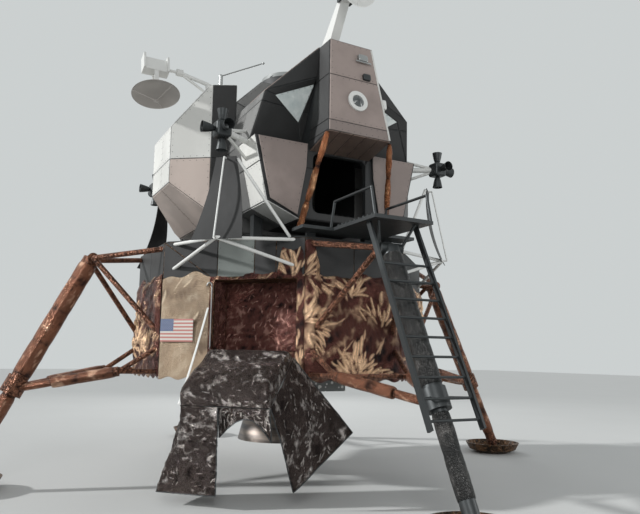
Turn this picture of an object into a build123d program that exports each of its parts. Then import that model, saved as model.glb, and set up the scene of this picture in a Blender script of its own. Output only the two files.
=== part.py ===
from build123d import *
import math
import os

os.makedirs("parts", exist_ok=True)

# A two-stage lunar lander standing on its four legs. Lengths are in millimetres. +Z is up, the
# hatch faces -Y, and the origin is on the floor under the centre of the descent stage.

# Landing gear: each leg is drawn reaching out along +X, then turned to its place
gear_radius = 4254
pad_radius = 470
pad_height = 175
pad_foot_radius = 260
pad_flare_height = 60
pad_flare_width = 60
pad_wall = 22
pad_floor = 30
ball_height = 190
ball_radius = 90
socket_radius = 110
strut_top_radius = 2900
strut_top_height = 2950
outer_strut_radius = 108
inner_strut_radius = 84
cap_radius = 70
cap_half = 150
knee_height = 1160
knee_radius = 135
knee_length = 230
brace_radius = 62
brace_rod_radius = 40
brace_rod_share = 0.38
brace_spread = 60
truss_out = 470
truss_half = 520
truss_rise = 60
truss_root_rise = 420
truss_tube = 32
outrigger_tube = 36
outrigger_low_rise = 480
outrigger_drop = 60
root_inset = 60
leg_angles = {"front": -90, "right": 0, "back": 90, "left": 180}

# Descent stage: an octagon of four leg faces and four longer corner faces
stage_half = 2090
leg_face_half = 700
belly_height = 1400
deck_height = 3150
deck_plate = 25
deck_inset = 40
bay_half = 780
bay_roof = 2760
shield_thickness = 30
shield_rim = 60
shield_rim_width = 40
shield_hole_radius = 690
shield_half = 1500
shield_face_half = 490

# Descent engine and its gimbal: the ring tips about X, and the engine tips about Y in the ring
gimbal_height = 2230
chamber_top = 2560
chamber_radius = 200
chamber_shoulder = 60
throat_drop = 200
throat_radius = 110
nozzle_radius = 660
nozzle_floor_gap = 450
nozzle_wall = 14
ring_radius = 345
ring_width = 50
ring_depth = 90
pin_radius = 30
pin_clearance = 0.3
side_clearance = 6
mount_half = 60

# Equipment pallet that folds down from the corner face on the hatch's left
pallet_angle = 225
pallet_width = 1080
pallet_length = 930
pallet_floor = 14
pallet_rim = 40
pallet_shift = 325
pallet_tilt = 38
pallet_hinge_height = 1690
pallet_edge = 40
pallet_gap = 15
recess_depth = 360
recess_sill = 45
hinge_radius = 22
hinge_standoff = 28
hinge_pin_radius = 12
hinge_barrel = 120
hinge_offset = 380
lug_thickness = 18
lug_gap = 1
weld_depth = 1

# Packs strapped in the pallet's tray: from the hinge edge, from the middle, length, width, height
pack_low = 150
pack_high = 250
packs = [
    (60, -500, 380, 460, pack_low),
    (60, 0, 380, 480, pack_low - 20),
    (470, -500, 370, 380, pack_high - 60),
    (470, -90, 370, 570, pack_high),
]
pack_radius = 30

# Crinkled cover over the packs. It stands on the tray's rim, and fits in the recess when the pallet
# is folded up. A skirt hangs from the rim on the left and in front, and a loose panel on the right
cover_wall = 12
cover_top = 18
cover_overlap = 5
cover_foot_near = 48
cover_low_near = 66
cover_ridge = 490
cover_top_far = 904
cover_foot_far = 939
skirt_wall = 20
skirt_split = -75
skirt_drop = 1540
skirt_near = 200
skirt_far = 739
skirt_left = 825
panel_foot_near = (199, 1325, -850)
panel_foot_far = (489, 725, -1490)

def above_deck(outline):
    """Points of (distance, height above the deck), with their heights from the floor."""
    return [(distance, deck_height + height) for distance, height in outline]


# Cabin: its outlines are (half width, height above the deck) seen from the front
cabin_front = 1700
cabin_back = 690
cabin_wall = 80
cabin_outline = above_deck([(600, 320), (1060, 510), (1255, 1350), (1130, 1960), (340, 2750)])
room_outline = above_deck([(560, 405), (985, 565), (1170, 1350), (1055, 1915), (310, 2660)])
shelf_height = deck_height + 1350
brow_inner, brow_outer = above_deck([(375, 2308), (1130, 1960)])
socket_depth = 310
window = above_deck([(400, 2210), (970, 1940), (560, 1690)])
window_thickness = 14

# Middle section with the docking tunnel
mid_back = 700
mid_outline = above_deck([(1150, 250), (1150, 2150), (760, 2550)])
mid_room = above_deck([(850, 490), (850, 2050), (640, 2310)])
tunnel_radius = 410
tunnel_wall = 60
tunnel_top = deck_height + 2890
docking_ring_bevel = 20
docking_ring_height = 70
roof_hatch_overlap = 25
roof_hatch_thickness = 50
roof_hatch_gap = 6
roof_hatch_hinge = 460
ascent_engine_radius = 390
ascent_engine_top = deck_height + 890
ascent_engine_bevel = 60
ascent_nozzle_radius = 380
ascent_nozzle_floor = deck_height + 50
ascent_nozzle_lip = 30

# Nose above the hatch, and the two side plates beside it
nose_front = 2234
nose_kink = deck_height + 1384
nose_kink_half = 470
nose_top = cabin_outline[-1][1]
nose_top_front = 1985
nose_top_half = 330
chin_back_height = deck_height + 1260
cheek = above_deck([(506, 1340), (1225, 1340), (1040, 530), (640, 350), (522, 1010)])
cheek_thickness = 30

# Crew hatch
hatch_half = 406
hatch_sill = deck_height + 430
hatch_head = deck_height + 1230
hatch_thickness = 45
hatch_gap = 8
hatch_corner = 90
hatch_open = 95
hatch_axis_side = 14
hatch_axis_back = 22
hatch_barrel_radius = 16
hatch_pin_radius = 8
hatch_barrel = 100
hatch_barrel_heights = (hatch_sill + 160, hatch_head - 260)
hatch_valve_radius = 60
hatch_valve_depth = 25
hatch_grip_side = 250
hatch_grip_half = 90
hatch_grip_rise = 40
hatch_grip_radius = 9

# Porch in front of the hatch
porch_half = 406
porch_shoulder_half = 828
porch_shoulder_front = 2263
porch_back = 1960
porch_top = deck_height + 120
porch_thickness = 40
porch_end = 3200
porch_rib_depth = 18
porch_rib_width = 30
porch_rib_pitch = 95
porch_foot_reach = 580
porch_foot_half = 60
porch_stay_reach = 260
rail_radius = 17
rail_rise = 330
rail_slope = 100

# Ladder on the front leg
ladder_half = 330
ladder_standoff = 175
ladder_rail_width = 70
ladder_rail_thickness = 30
ladder_tail = 90
rung_pitch = 228.6
rung_count = 9
rung_radius = 14
first_rung_height = 1085

# Tank fairings at the two sides: (x, height above the deck) seen from the front, (x, y) from above
fairing_front_view = above_deck([(1150, 410), (1560, 410), (2140, 930), (2140, 1750), (1700, 2330), (1150, 2410)])
fairing_plan = [(1150, -690), (1500, -690), (2140, -330), (2140, 620), (1650, 1080), (1150, 1080)]
left_trim = 160

# Aft equipment bay
aft_back = 1980
aft_half = 1148
aft_floor = deck_height + 350
aft_roof = deck_height + 2370
aft_chamfer = 230

# Thruster clusters at the four corners of the ascent stage
cluster_offset = 1690
cluster_height = deck_height + 1320
cluster_half = 100
cluster_round = 35
bell_exit_radius = 72
bell_throat_radius = 26
bell_length = 165
bell_wall = 5
bell_floor = 20
boom_radius = 38
stay_radius = 22
stay_spread = 430
boom_front_root = -1032
stay_front_root = -804
stay_back_root = 1080

# Exhaust deflectors under the clusters, and the tubes that hold them off the deck's corners
deflector_top_out = 2240
deflector_top_height = cluster_height - 300
deflector_foot_out = 2450
deflector_foot_height = deck_height - 75
deflector_top_half = 140
deflector_foot_half = 340
deflector_wall = 8
deflector_bow = 70
deflector_tube = 22
deflector_stay = 11
deflector_stay_out = 66
deflector_low_drop = 380

# Rendezvous radar over the nose: the fork tips about X, and the dish turns on the fork's pin
radar_foot_near = 980
radar_foot_far = 1340
radar_head = (0, -1800, deck_height + 3530)
radar_head_radius = 75
radar_head_half = 70
radar_post_half = 30
radar_pin_radius = 25
radar_cheek_inner = 80
radar_cheek_outer = 105
radar_cheek_back = 45
radar_bridge_low = 62
radar_bridge_high = 82
radar_reach = 140
radar_hub_radius = 36
radar_neck_radius = 20
radar_dish_pin_radius = 12
radar_dish_offset = 110
radar_dish_radius = 305
radar_dish_depth = 90
dish_wall = 10
feed_reach = 0.6
feed_leg_radius = 6
feed_legs = 3
feed_radius = 38
feed_length = 45

# Steerable antenna on the photo's left: the yoke tips about X, and the dish turns below it
mast_x = -1480
mast_y = -400
mast_foot_height = deck_height + 2200
mast_brace_height = deck_height + 2300
mast_shoulder_height = deck_height + 2450
mast_radius = 48
mast_arm_radius = 28
mast_brace_radius = 20
steer_head = (-1900, -330, deck_height + 2570)
steer_head_radius = 50
steer_head_half = 45
steer_pin_radius = 20
steer_box_reach = 350
steer_box_length = 300
steer_box_depth = 150
steer_box_height = 190
steer_bar_width = 30
steer_bar_rise = 50
steer_drop = 320
steer_leg_half = 30
steer_leg_thickness = 15
steer_fork_half = 55
steer_dish_pin_radius = 10
steer_neck_radius = 24
steer_dish_radius = 330
steer_dish_depth = 95
steer_dish_offset = 50
steer_tilt = 15

# Rod aerials: foot, top of its short post, and tip. One leans inwards over each side of the roof
rod_foot = (-1380, -640, deck_height + 2360)
rod_post = (-1380, -640, deck_height + 2515)
rod_tip = (-726, -640, deck_height + 2870)
rod_radius = 9
rod_post_radius = 28
disc_place = (480, 420)
disc_post_top = deck_height + 3050
disc_cone_foot_radius = 90
disc_cone_height = 120
disc_radius = 60
disc_thickness = 8

# Small fittings
light_height = deck_height + 1876
light_radius = 85
light_ring_radius = 145
light_ring_depth = 30
post_half = 65
post_reach = 900
post_front = 960
post_cut = deck_height + 550
radar_box_low = (-300, -1560)
radar_box_high = (200, -1150)
radar_box_depth = 140


def point(values):
    return Vector(*values)


def tube(start, end, radius):
    """A round bar from start to end."""
    axis = point(end) - point(start)
    return Solid.make_cylinder(radius, axis.length, Plane(point(start), z_dir=axis.normalized()))


def prism(corners, reach):
    """A flat outline of 3-D corners, carried along the vector reach."""
    outline = Wire.make_polygon([point(c) for c in corners], close=True)
    return Solid.extrude(Face(outline), point(reach))


def box(first, second):
    """A block between two opposite corners, given in any order."""
    low = [min(a, b) for a, b in zip(first, second)]
    size = [abs(a - b) for a, b in zip(first, second)]
    return Solid.make_box(*size, Plane(point(low)))


def joined(*pieces):
    """The pieces as one solid."""
    return Part() + list(pieces)


def apart(*pieces):
    """Separate solids that share a node."""
    return Compound(children=[solid for piece in pieces for solid in piece.solids()])


def turned(shape, angle):
    """The shape turned about the lander's upright axis."""
    return Rot(0, 0, angle) * shape


def about(shape, origin, axis, angle):
    """The shape turned by an angle about an axis through origin."""
    return shape.rotate(Axis(point(origin), point(axis)), angle)


def both(shape):
    """The shape and its mirror image across the middle plane."""
    return [shape, mirror(shape, about=Plane.YZ)]


def between(start, end, share):
    return point(start) + (point(end) - point(start)) * share


def whole(half_outline):
    """Half an outline, with its mirror image added."""
    return half_outline + [(-x, other) for x, other in reversed(half_outline)]


def front_prism(outline, near, far):
    """An outline of (x, z) points, carried along Y from near to far."""
    return prism([(x, near, z) for x, z in outline], (0, far - near, 0))


def plan_prism(outline, low, high):
    """An outline of (x, y) points, carried up from low to high."""
    return prism([(x, y, low) for x, y in outline], (0, 0, high - low))


def side_prism(outline, half):
    """An outline of (y, z) points, carried along X from -half to half."""
    return prism([(-half, y, z) for y, z in outline], (2 * half, 0, 0))


def upright(radius, low, high):
    """A cylinder on the lander's upright axis."""
    return Solid.make_cylinder(radius, high - low, Plane((0, 0, low)))


def revolved(profile):
    """A profile of (radius, height) points, turned about the Z axis."""
    return revolve(Plane.XZ * make_face(Polyline(*profile, close=True)), Axis.Z)


def dish(radius, depth, wall):
    """A shallow round bowl that opens upwards, with the foot of its bowl at the origin."""
    curve = (radius**2 + depth**2) / (2 * depth)
    bowl = (Part() + Pos(0, 0, curve) * Solid.make_sphere(curve)) & Solid.make_cylinder(radius, depth)
    return bowl - Pos(0, 0, curve + wall) * Solid.make_sphere(curve)


def feed(radius, depth):
    """Legs from inside a dish's rim to a small cone in front of it, standing on the bowl's axis."""
    focus = radius * feed_reach
    legs = []
    for number in range(feed_legs):
        turn = 2 * math.pi * number / feed_legs
        rim = (radius - dish_wall) * math.cos(turn), (radius - dish_wall) * math.sin(turn)
        legs.append(tube((*rim, depth), (0, 0, focus), feed_leg_radius))
    cone = revolved([(0, focus - feed_length / 2), (feed_radius, focus), (0, focus + feed_length / 2)])
    return joined(cone, *legs)


# Places worked out from the sizes
strut_foot = (gear_radius, 0, ball_height)
strut_top = (strut_top_radius, 0, strut_top_height)
strut_slope = (gear_radius - strut_top_radius) / (strut_top_height - ball_height)
strut_lean = math.atan(strut_slope)
corner_reach = (stage_half + leg_face_half) / math.sqrt(2)
corner_half = (stage_half - leg_face_half) / math.sqrt(2)
truss_end = (stage_half + truss_out, truss_half, belly_height + truss_rise)
far_out = 3 * gear_radius


def strut_reach(height):
    """How far out the centre line of a main strut is at a height."""
    return gear_radius - (height - ball_height) * strut_slope


knee = (strut_reach(knee_height), 0, knee_height)


def footpad():
    """A shallow pan with a cone in its middle that carries the strut's ball."""
    seat = ball_height - ball_radius
    flare = pad_radius - pad_flare_width
    outside = [(0, 0), (pad_foot_radius, 0), (flare, pad_flare_height), (pad_radius, pad_height)]
    inside = [
        (pad_radius - pad_wall, pad_height),
        (flare - pad_wall, pad_flare_height + pad_floor),
        (pad_foot_radius - pad_wall, pad_floor),
        (socket_radius + pad_wall, pad_floor),
        (socket_radius, seat),
        (0, seat),
    ]
    return Pos(gear_radius, 0, 0) * revolved(outside + inside)


def main_strut():
    """Outer cylinder above the knee, inner cylinder below it, and the ball at its foot."""
    share = knee_length / (point(strut_top) - point(knee)).length
    ball = Pos(*strut_foot) * Solid.make_sphere(ball_radius)
    lower = tube(strut_foot, knee, inner_strut_radius)
    upper = tube(knee, strut_top, outer_strut_radius)
    collar = tube(knee, between(knee, strut_top, share), knee_radius)
    cap_start = (strut_top_radius, -cap_half, strut_top_height)
    cap_end = (strut_top_radius, cap_half, strut_top_height)
    return joined(ball, lower, upper, collar, tube(cap_start, cap_end, cap_radius))


def side_braces():
    """Two braces from the truss at the stage's lower edge to the knee."""
    pieces = []
    for side in (-1, 1):
        inner = (truss_end[0], side * truss_end[1], truss_end[2])
        outer = (knee[0], side * brace_spread, knee[2] + brace_spread)
        middle = between(inner, outer, 1 - brace_rod_share)
        brace = joined(tube(inner, middle, brace_radius), tube(middle, outer, brace_rod_radius))
        pieces.append(brace - main_strut())
    return apart(*pieces)


def leg_frame():
    """Tubes from the corners of the leg face to the strut's head and to the braces' roots."""
    inside = stage_half - root_inset
    tubes = []
    for side in (-1, 1):
        across = side * (leg_face_half - root_inset)
        head = (strut_top_radius, side * cap_half, strut_top_height)
        end = (truss_end[0], side * truss_end[1], truss_end[2])
        tubes.append(tube((inside, across, deck_height - outrigger_drop), head, outrigger_tube))
        tubes.append(tube((inside, across, belly_height + outrigger_low_rise), head, outrigger_tube))
        tubes.append(tube((inside, across, belly_height + truss_rise), end, truss_tube))
        tubes.append(tube((inside, across, belly_height + truss_root_rise), end, truss_tube))
    tubes.append(tube((truss_end[0], -truss_end[1], truss_end[2]), truss_end, truss_tube))
    outside = box((stage_half, -far_out, 0), (far_out, far_out, far_out))
    return (joined(*tubes) & outside) - main_strut() - side_braces()


def octagon(half, face_half):
    """Corners of the stage's plan, half across and face_half along each leg face."""
    quarter = [(face_half, -half), (half, -face_half), (half, face_half), (face_half, half)]
    return quarter + [(-x, -y) for x, y in quarter]


def stage_body():
    return plan_prism(octagon(stage_half, leg_face_half), belly_height, deck_height)


def deck_body():
    outline = octagon(stage_half - deck_inset, leg_face_half - deck_inset / 2)
    return plan_prism(outline, deck_height, deck_height + deck_plate)


hinge_x = corner_reach + hinge_standoff
hinge_line = (hinge_x, pallet_shift, pallet_hinge_height)


def pallet_place(shape):
    """From the pallet's own frame, reaching out along +X, to its corner face."""
    return turned(shape, pallet_angle)


def hinge_lugs():
    """Pairs of lugs with a pin between them, one pair for each barrel of the pallet."""
    pieces = []
    reach = hinge_barrel / 2 + lug_gap + lug_thickness
    low, high = pallet_hinge_height - hinge_radius, pallet_hinge_height + hinge_radius
    for side in (-1, 1):
        middle = pallet_shift + side * hinge_offset
        for end in (-1, 1):
            near = middle + end * (reach - lug_thickness)
            far = middle + end * reach
            pieces.append(box((corner_reach - weld_depth, near, low), (hinge_x, far, high)))
            eye = tube((hinge_x, near, pallet_hinge_height), (hinge_x, far, pallet_hinge_height), hinge_radius)
            pieces.append(eye)
        start = (hinge_x, middle - reach, pallet_hinge_height)
        pieces.append(tube(start, (hinge_x, middle + reach, pallet_hinge_height), hinge_pin_radius))
    return pieces


def descent_stage():
    """The octagonal body, open below for the engine and at one corner for the pallet."""
    engine_bay = box((-bay_half, -bay_half, belly_height), (bay_half, bay_half, bay_roof))
    side = pallet_width / 2 + pallet_gap
    low = (corner_reach - recess_depth, pallet_shift - side, pallet_hinge_height + recess_sill)
    top = pallet_hinge_height + pallet_length + pallet_gap
    recess = pallet_place(box(low, (corner_reach + recess_depth, pallet_shift + side, top)))
    lugs = [pallet_place(lug) for lug in hinge_lugs()]
    return Part() + stage_body() - engine_bay - recess + lugs


def deck():
    """The flat top deck, with the four posts under the ascent stage."""
    pieces = [deck_body()]
    for x in (-post_reach, post_reach):
        for y in (-post_front, post_front):
            pieces.append(box((x - post_half, y - post_half, deck_height), (x + post_half, y + post_half, post_cut)))
    return joined(*pieces) - cabin_body() - aft_body()


def heat_shield():
    """The belly plate, with the rimmed hole that the nozzle hangs through."""
    low = belly_height - shield_thickness
    plate = plan_prism(octagon(shield_half, shield_face_half), low, belly_height)
    rim = upright(shield_hole_radius + shield_rim_width, low - shield_rim, belly_height)
    return joined(plate, rim) - upright(shield_hole_radius, low - shield_rim, belly_height)


def engine_mounts():
    """Two arms from the bay's walls with the pins that carry the gimbal ring."""
    inner = ring_radius + ring_width / 2 + side_clearance
    low, high = gimbal_height - mount_half, gimbal_height + mount_half
    side_view = [
        (inner, low),
        (bay_half, low - mount_half),
        (bay_half, high + 3 * mount_half),
        (inner + mount_half, high),
        (inner, high),
    ]
    arm = front_prism(side_view, -mount_half, mount_half)
    pin = tube((ring_radius - ring_width / 4, 0, gimbal_height), (inner, 0, gimbal_height), pin_radius)
    mount = joined(arm, pin)
    return apart(mount, turned(mount, 180))


def gimbal_ring():
    """The ring that tips about X on the mounts and carries the engine's pins along Y."""
    low, high = gimbal_height - ring_depth / 2, gimbal_height + ring_depth / 2
    ring = Part() + upright(ring_radius + ring_width / 2, low, high)
    ring -= upright(ring_radius - ring_width / 2, low, high)
    reach = ring_radius + ring_width
    for x, y in ((reach, 0), (0, reach)):
        ring -= tube((-x, -y, gimbal_height), (x, y, gimbal_height), pin_radius + pin_clearance)
    return ring


def descent_engine():
    """Chamber, throat and bell in one turned piece, with two pins along Y."""
    throat_height = gimbal_height - throat_drop
    drop = throat_height - nozzle_floor_gap
    # The bell widens fast below the throat, then straightens towards its lip
    steps = [0, 0.08, 0.22, 0.42, 0.68, 1]
    bell = [(throat_radius + (nozzle_radius - throat_radius) * s**0.7, throat_height - drop * s) for s in steps]
    head = [(0, chamber_top), (chamber_radius - chamber_shoulder, chamber_top)]
    waist = [(chamber_radius, chamber_top - chamber_shoulder), (chamber_radius, gimbal_height - ring_depth)]
    inside = [(radius - nozzle_wall, height) for radius, height in reversed(bell)]
    body = revolved(head + waist + bell + inside + [(0, throat_height + nozzle_wall)])
    reach = ring_radius - ring_width / 2 - side_clearance
    low, high = gimbal_height - mount_half, gimbal_height + mount_half
    arm = (Part() + box((-mount_half, -reach, low), (mount_half, reach, high))) & upright(reach, low, high)
    end = ring_radius + ring_width / 4
    return joined(body, arm, tube((0, -end, gimbal_height), (0, end, gimbal_height), pin_radius))


def pallet_tilted(shape):
    """From level to the tilt at which the pallet hangs, on its corner face."""
    return pallet_place(about(shape, hinge_line, (0, 1, 0), pallet_tilt))


def pallet_frame():
    """A shallow tray on two hinge barrels."""
    half = pallet_width / 2
    inner, outer = hinge_x + pallet_edge, hinge_x + pallet_length
    low, high = pallet_hinge_height - pallet_rim, pallet_hinge_height
    tray = Part() + box((inner, pallet_shift - half, low), (outer, pallet_shift + half, high))
    well_start = (inner + pallet_floor, pallet_shift - half + pallet_floor, low + pallet_floor)
    tray -= box(well_start, (outer - pallet_floor, pallet_shift + half - pallet_floor, high))
    pieces = [tray]
    for side in (-1, 1):
        near = pallet_shift + side * hinge_offset - hinge_barrel / 2
        far = near + hinge_barrel
        pieces.append(tube((hinge_x, near, high), (hinge_x, far, high), hinge_radius))
        pieces.append(box((hinge_x, near, high - hinge_radius), (inner + pallet_floor, far, high - hinge_radius / 4)))
    bore = tube((hinge_x, -pallet_width, high), (hinge_x, pallet_width, high), hinge_pin_radius + pin_clearance)
    return pallet_tilted(joined(*pieces) - bore)


def pallet_packs():
    """Soft-cornered equipment packs that stand in the tray."""
    solids = []
    floor = pallet_hinge_height - pallet_rim + pallet_floor
    for along, across, length, width, height in packs:
        start = (hinge_x + pallet_edge + along, pallet_shift + across, floor)
        pack = box(start, (start[0] + length, start[1] + width, floor + height))
        solids.append(fillet(pack.edges().filter_by(Axis.Z), pack_radius))
    return pallet_tilted(apart(*solids))


def pallet_cover():
    """The hollow cover over the packs, low over the first row and higher over the second."""
    rim = pallet_hinge_height
    floor = rim - pallet_rim + pallet_floor
    low, high = floor + pack_low, floor + pack_high
    hollow = [
        (cover_foot_near + cover_wall, rim),
        (cover_low_near + cover_wall, low),
        (cover_ridge + cover_wall, high),
        (cover_top_far - cover_wall, high),
        (cover_foot_far - cover_wall, rim),
    ]
    outside = [
        (cover_foot_near, rim),
        (cover_low_near, low + cover_top),
        (cover_ridge, high + cover_top),
        (cover_top_far, high + cover_top),
        (cover_foot_far, rim),
    ]

    def across(outline, half):
        return prism([(hinge_x + out, pallet_shift - half, z) for out, z in outline], (0, 2 * half, 0))

    wide = pallet_width / 2 + cover_overlap
    return Part() + across(outside, wide) - across(hollow, wide - cover_wall)


def hanging(rim_corners, foot_corners):
    """A sheet that hangs from the tray's rim, between two outlines of (out, across, rise) points."""
    place = Vector(hinge_x, pallet_shift, pallet_hinge_height)
    rim = Wire.make_polygon([place + point(corner) for corner in rim_corners], close=True)
    foot = Wire.make_polygon([place + point(corner) for corner in foot_corners], close=True)
    return Solid.make_loft([foot, about(rim, hinge_line, (0, 1, 0), pallet_tilt)], ruled=True)


def pallet_blanket():
    """The cover over the packs, with its skirt and its loose panel."""
    half = pallet_width / 2

    def skirt_outline(near, far, left, split, rise):
        outer = [(near, left, rise), (far, left, rise), (far, split, rise)]
        far, left = far - skirt_wall, left + skirt_wall
        return outer + [(far, split, rise), (far, left, rise), (near, left, rise)]

    rim_far = pallet_length + skirt_wall
    skirt = hanging(
        skirt_outline(pallet_edge, rim_far, -half - skirt_wall, skirt_split, 0),
        skirt_outline(skirt_near, skirt_far, -skirt_left, skirt_split, -skirt_drop),
    )
    wall = Vector(0, skirt_wall, 0)
    rim_near, rim_end = Vector(pallet_edge, half, 0), Vector(rim_far, half, 0)
    foot_near, foot_end = point(panel_foot_near), point(panel_foot_far)
    panel = hanging(
        [rim_near, rim_end, rim_end + wall, rim_near + wall],
        [foot_near, foot_end, foot_end + wall, foot_near + wall],
    )
    return joined(pallet_tilted(pallet_cover()), pallet_place(skirt), pallet_place(panel))


def cabin_body():
    """The cabin's outside, as a solid."""
    return front_prism(whole(cabin_outline), -cabin_front, -cabin_back)


def socket_face(depth):
    """The slanting plane that a window lies in, moved inwards by depth."""
    inner = Vector(brow_inner[0], -cabin_front, brow_inner[1])
    outer = Vector(brow_outer[0], -cabin_front, brow_outer[1])
    foot = Vector(brow_inner[0], -cabin_front + socket_depth, shelf_height)
    normal = (foot - inner).cross(outer - inner).normalized()
    if normal.Y > 0:
        normal = -normal
    return Plane(inner - normal * depth, z_dir=normal)


def in_front_of(plane, reach):
    """A large block on the outer side of a plane."""
    return plane * Pos(0, 0, reach / 2) * Box(4 * reach, 4 * reach, reach)


def socket(depth):
    """The wedge cut back under one brow, down to the shelf above the cheek, grown by depth."""
    shelf = shelf_height - depth
    outline = [(nose_kink_half, shelf), brow_inner, brow_outer, (cabin_outline[2][0] + cabin_wall, shelf)]
    wedge = front_prism(outline, -cabin_front - cabin_wall, -cabin_back)
    return (Part() + wedge) & in_front_of(socket_face(depth), cabin_front)


def hatch_block(thickness, gap):
    """A square block with round corners, gap larger all round than the hatch."""
    half = hatch_half + gap
    block = box((-half, 0, hatch_sill - gap), (half, thickness, hatch_head + gap))
    return fillet(block.edges().filter_by(Axis.Y), hatch_corner + gap)


hatch_axis = (-hatch_half - hatch_axis_side, -cabin_front + cabin_wall + hatch_axis_back)


def hatch_ears():
    """Fixed ears with pins, below and above each of the hatch's two barrels."""
    x, y = hatch_axis
    pieces = []
    reach = lug_gap + lug_thickness
    for low in hatch_barrel_heights:
        high = low + hatch_barrel
        for near, far in ((low - reach, low - lug_gap), (high + lug_gap, high + reach)):
            back = y + hatch_barrel_radius
            ear = box((x - hatch_barrel_radius, y - hatch_axis_back - weld_depth, near), (x + hatch_pin_radius, back, far))
            pieces.append(ear)
        pieces.append(tube((x, y, low - reach), (x, y, high + reach), hatch_pin_radius))
    return pieces


def window_prism():
    return front_prism(window, -2 * cabin_front, -cabin_back)


def cabin():
    """The hollow cabin, open at the back into the middle section."""
    room = front_prism(whole(room_outline), -cabin_front + cabin_wall, -cabin_back)
    room = Part() + room - both(socket(cabin_wall))
    doorway = Pos(0, -cabin_front, 0) * hatch_block(cabin_wall, hatch_gap)
    shell = Part() + cabin_body() - both(socket(0)) - room - both(window_prism()) - doorway
    return shell + hatch_ears()


def windows():
    """Two triangular panes, lying in the slanting planes under the brows."""
    pane = (Part() + window_prism()) & in_front_of(socket_face(window_thickness), cabin_front)
    return apart(*both(pane - in_front_of(socket_face(0), cabin_front)))


def nose():
    """The forehead over the hatch: it leans back to the roof, and its chin slopes to the hatch."""
    side_view = [
        (-cabin_front, chin_back_height),
        (-nose_front, nose_kink),
        (-nose_top_front, nose_top),
        (-cabin_front, nose_top),
    ]
    taper = [(nose_kink_half, chin_back_height), (nose_kink_half, nose_kink), (nose_top_half, nose_top)]
    block = Part() + side_prism(side_view, nose_kink_half)
    return block & front_prism(whole(taper), -nose_front, -cabin_front)


def cheeks():
    """The two flat plates beside the hatch, on the cabin's front."""
    return apart(*both(front_prism(cheek, -cabin_front - cheek_thickness, -cabin_front)))


def mid_body():
    return front_prism(whole(mid_outline), -cabin_back, mid_back)


def ascent_engine():
    """The engine's cover in the cabin floor, and its bell between the two stages."""
    floor = mid_room[0][1]
    waist = ascent_engine_radius - ascent_engine_bevel
    profile = [
        (0, ascent_nozzle_floor + ascent_nozzle_lip),
        (ascent_nozzle_radius - ascent_nozzle_lip, ascent_nozzle_floor),
        (ascent_nozzle_radius, ascent_nozzle_floor),
        (waist, floor),
        (ascent_engine_radius, floor),
        (ascent_engine_radius, ascent_engine_top - ascent_engine_bevel),
        (waist, ascent_engine_top),
        (0, ascent_engine_top),
    ]
    return revolved(profile)


def midsection():
    """The hollow middle of the ascent stage, with the docking tunnel rising from its roof."""
    room = front_prism(whole(mid_room), -cabin_back, mid_back - cabin_wall)
    ceiling = mid_room[2][1]
    collar = upright(tunnel_radius + tunnel_wall, ceiling, tunnel_top)
    return joined(mid_body(), collar) - room - upright(tunnel_radius, ceiling, tunnel_top) - ascent_engine()


roof_hatch_middle = mid_room[2][1] - roof_hatch_gap - roof_hatch_thickness / 2


def roof_hatch():
    """The round hatch under the tunnel, on a hinge barrel behind it."""
    half = roof_hatch_thickness / 2
    plate = upright(tunnel_radius + roof_hatch_overlap, roof_hatch_middle - half, roof_hatch_middle + half)
    low, high = roof_hatch_middle - hatch_pin_radius, roof_hatch_middle + hatch_pin_radius
    arm = box((-hatch_barrel, 0, low), (hatch_barrel, roof_hatch_hinge, high))
    line = [(x, roof_hatch_hinge, roof_hatch_middle) for x in (-hatch_barrel, hatch_barrel)]
    return joined(plate, arm, tube(*line, hatch_barrel_radius)) - tube(*line, hatch_pin_radius + pin_clearance)


def roof_hatch_hanger():
    """Two lugs from the roof with the pin that the round hatch hangs on."""
    reach = hatch_barrel + lug_gap + lug_thickness
    near, far = roof_hatch_hinge - hatch_barrel_radius, roof_hatch_hinge + hatch_barrel_radius
    low = roof_hatch_middle - hatch_barrel_radius
    lug = box((reach - lug_thickness, near, low), (reach, far, mid_room[2][1]))
    line = [(x, roof_hatch_hinge, roof_hatch_middle) for x in (-reach, reach)]
    return joined(*both(lug), tube(*line, hatch_pin_radius))


def docking_ring():
    """The bevelled ring on top of the tunnel."""
    outer, high = tunnel_radius + tunnel_wall, tunnel_top + docking_ring_height
    slope = outer - docking_ring_bevel
    return revolved([(tunnel_radius, tunnel_top), (outer, tunnel_top), (slope, high), (tunnel_radius, high)])


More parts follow.
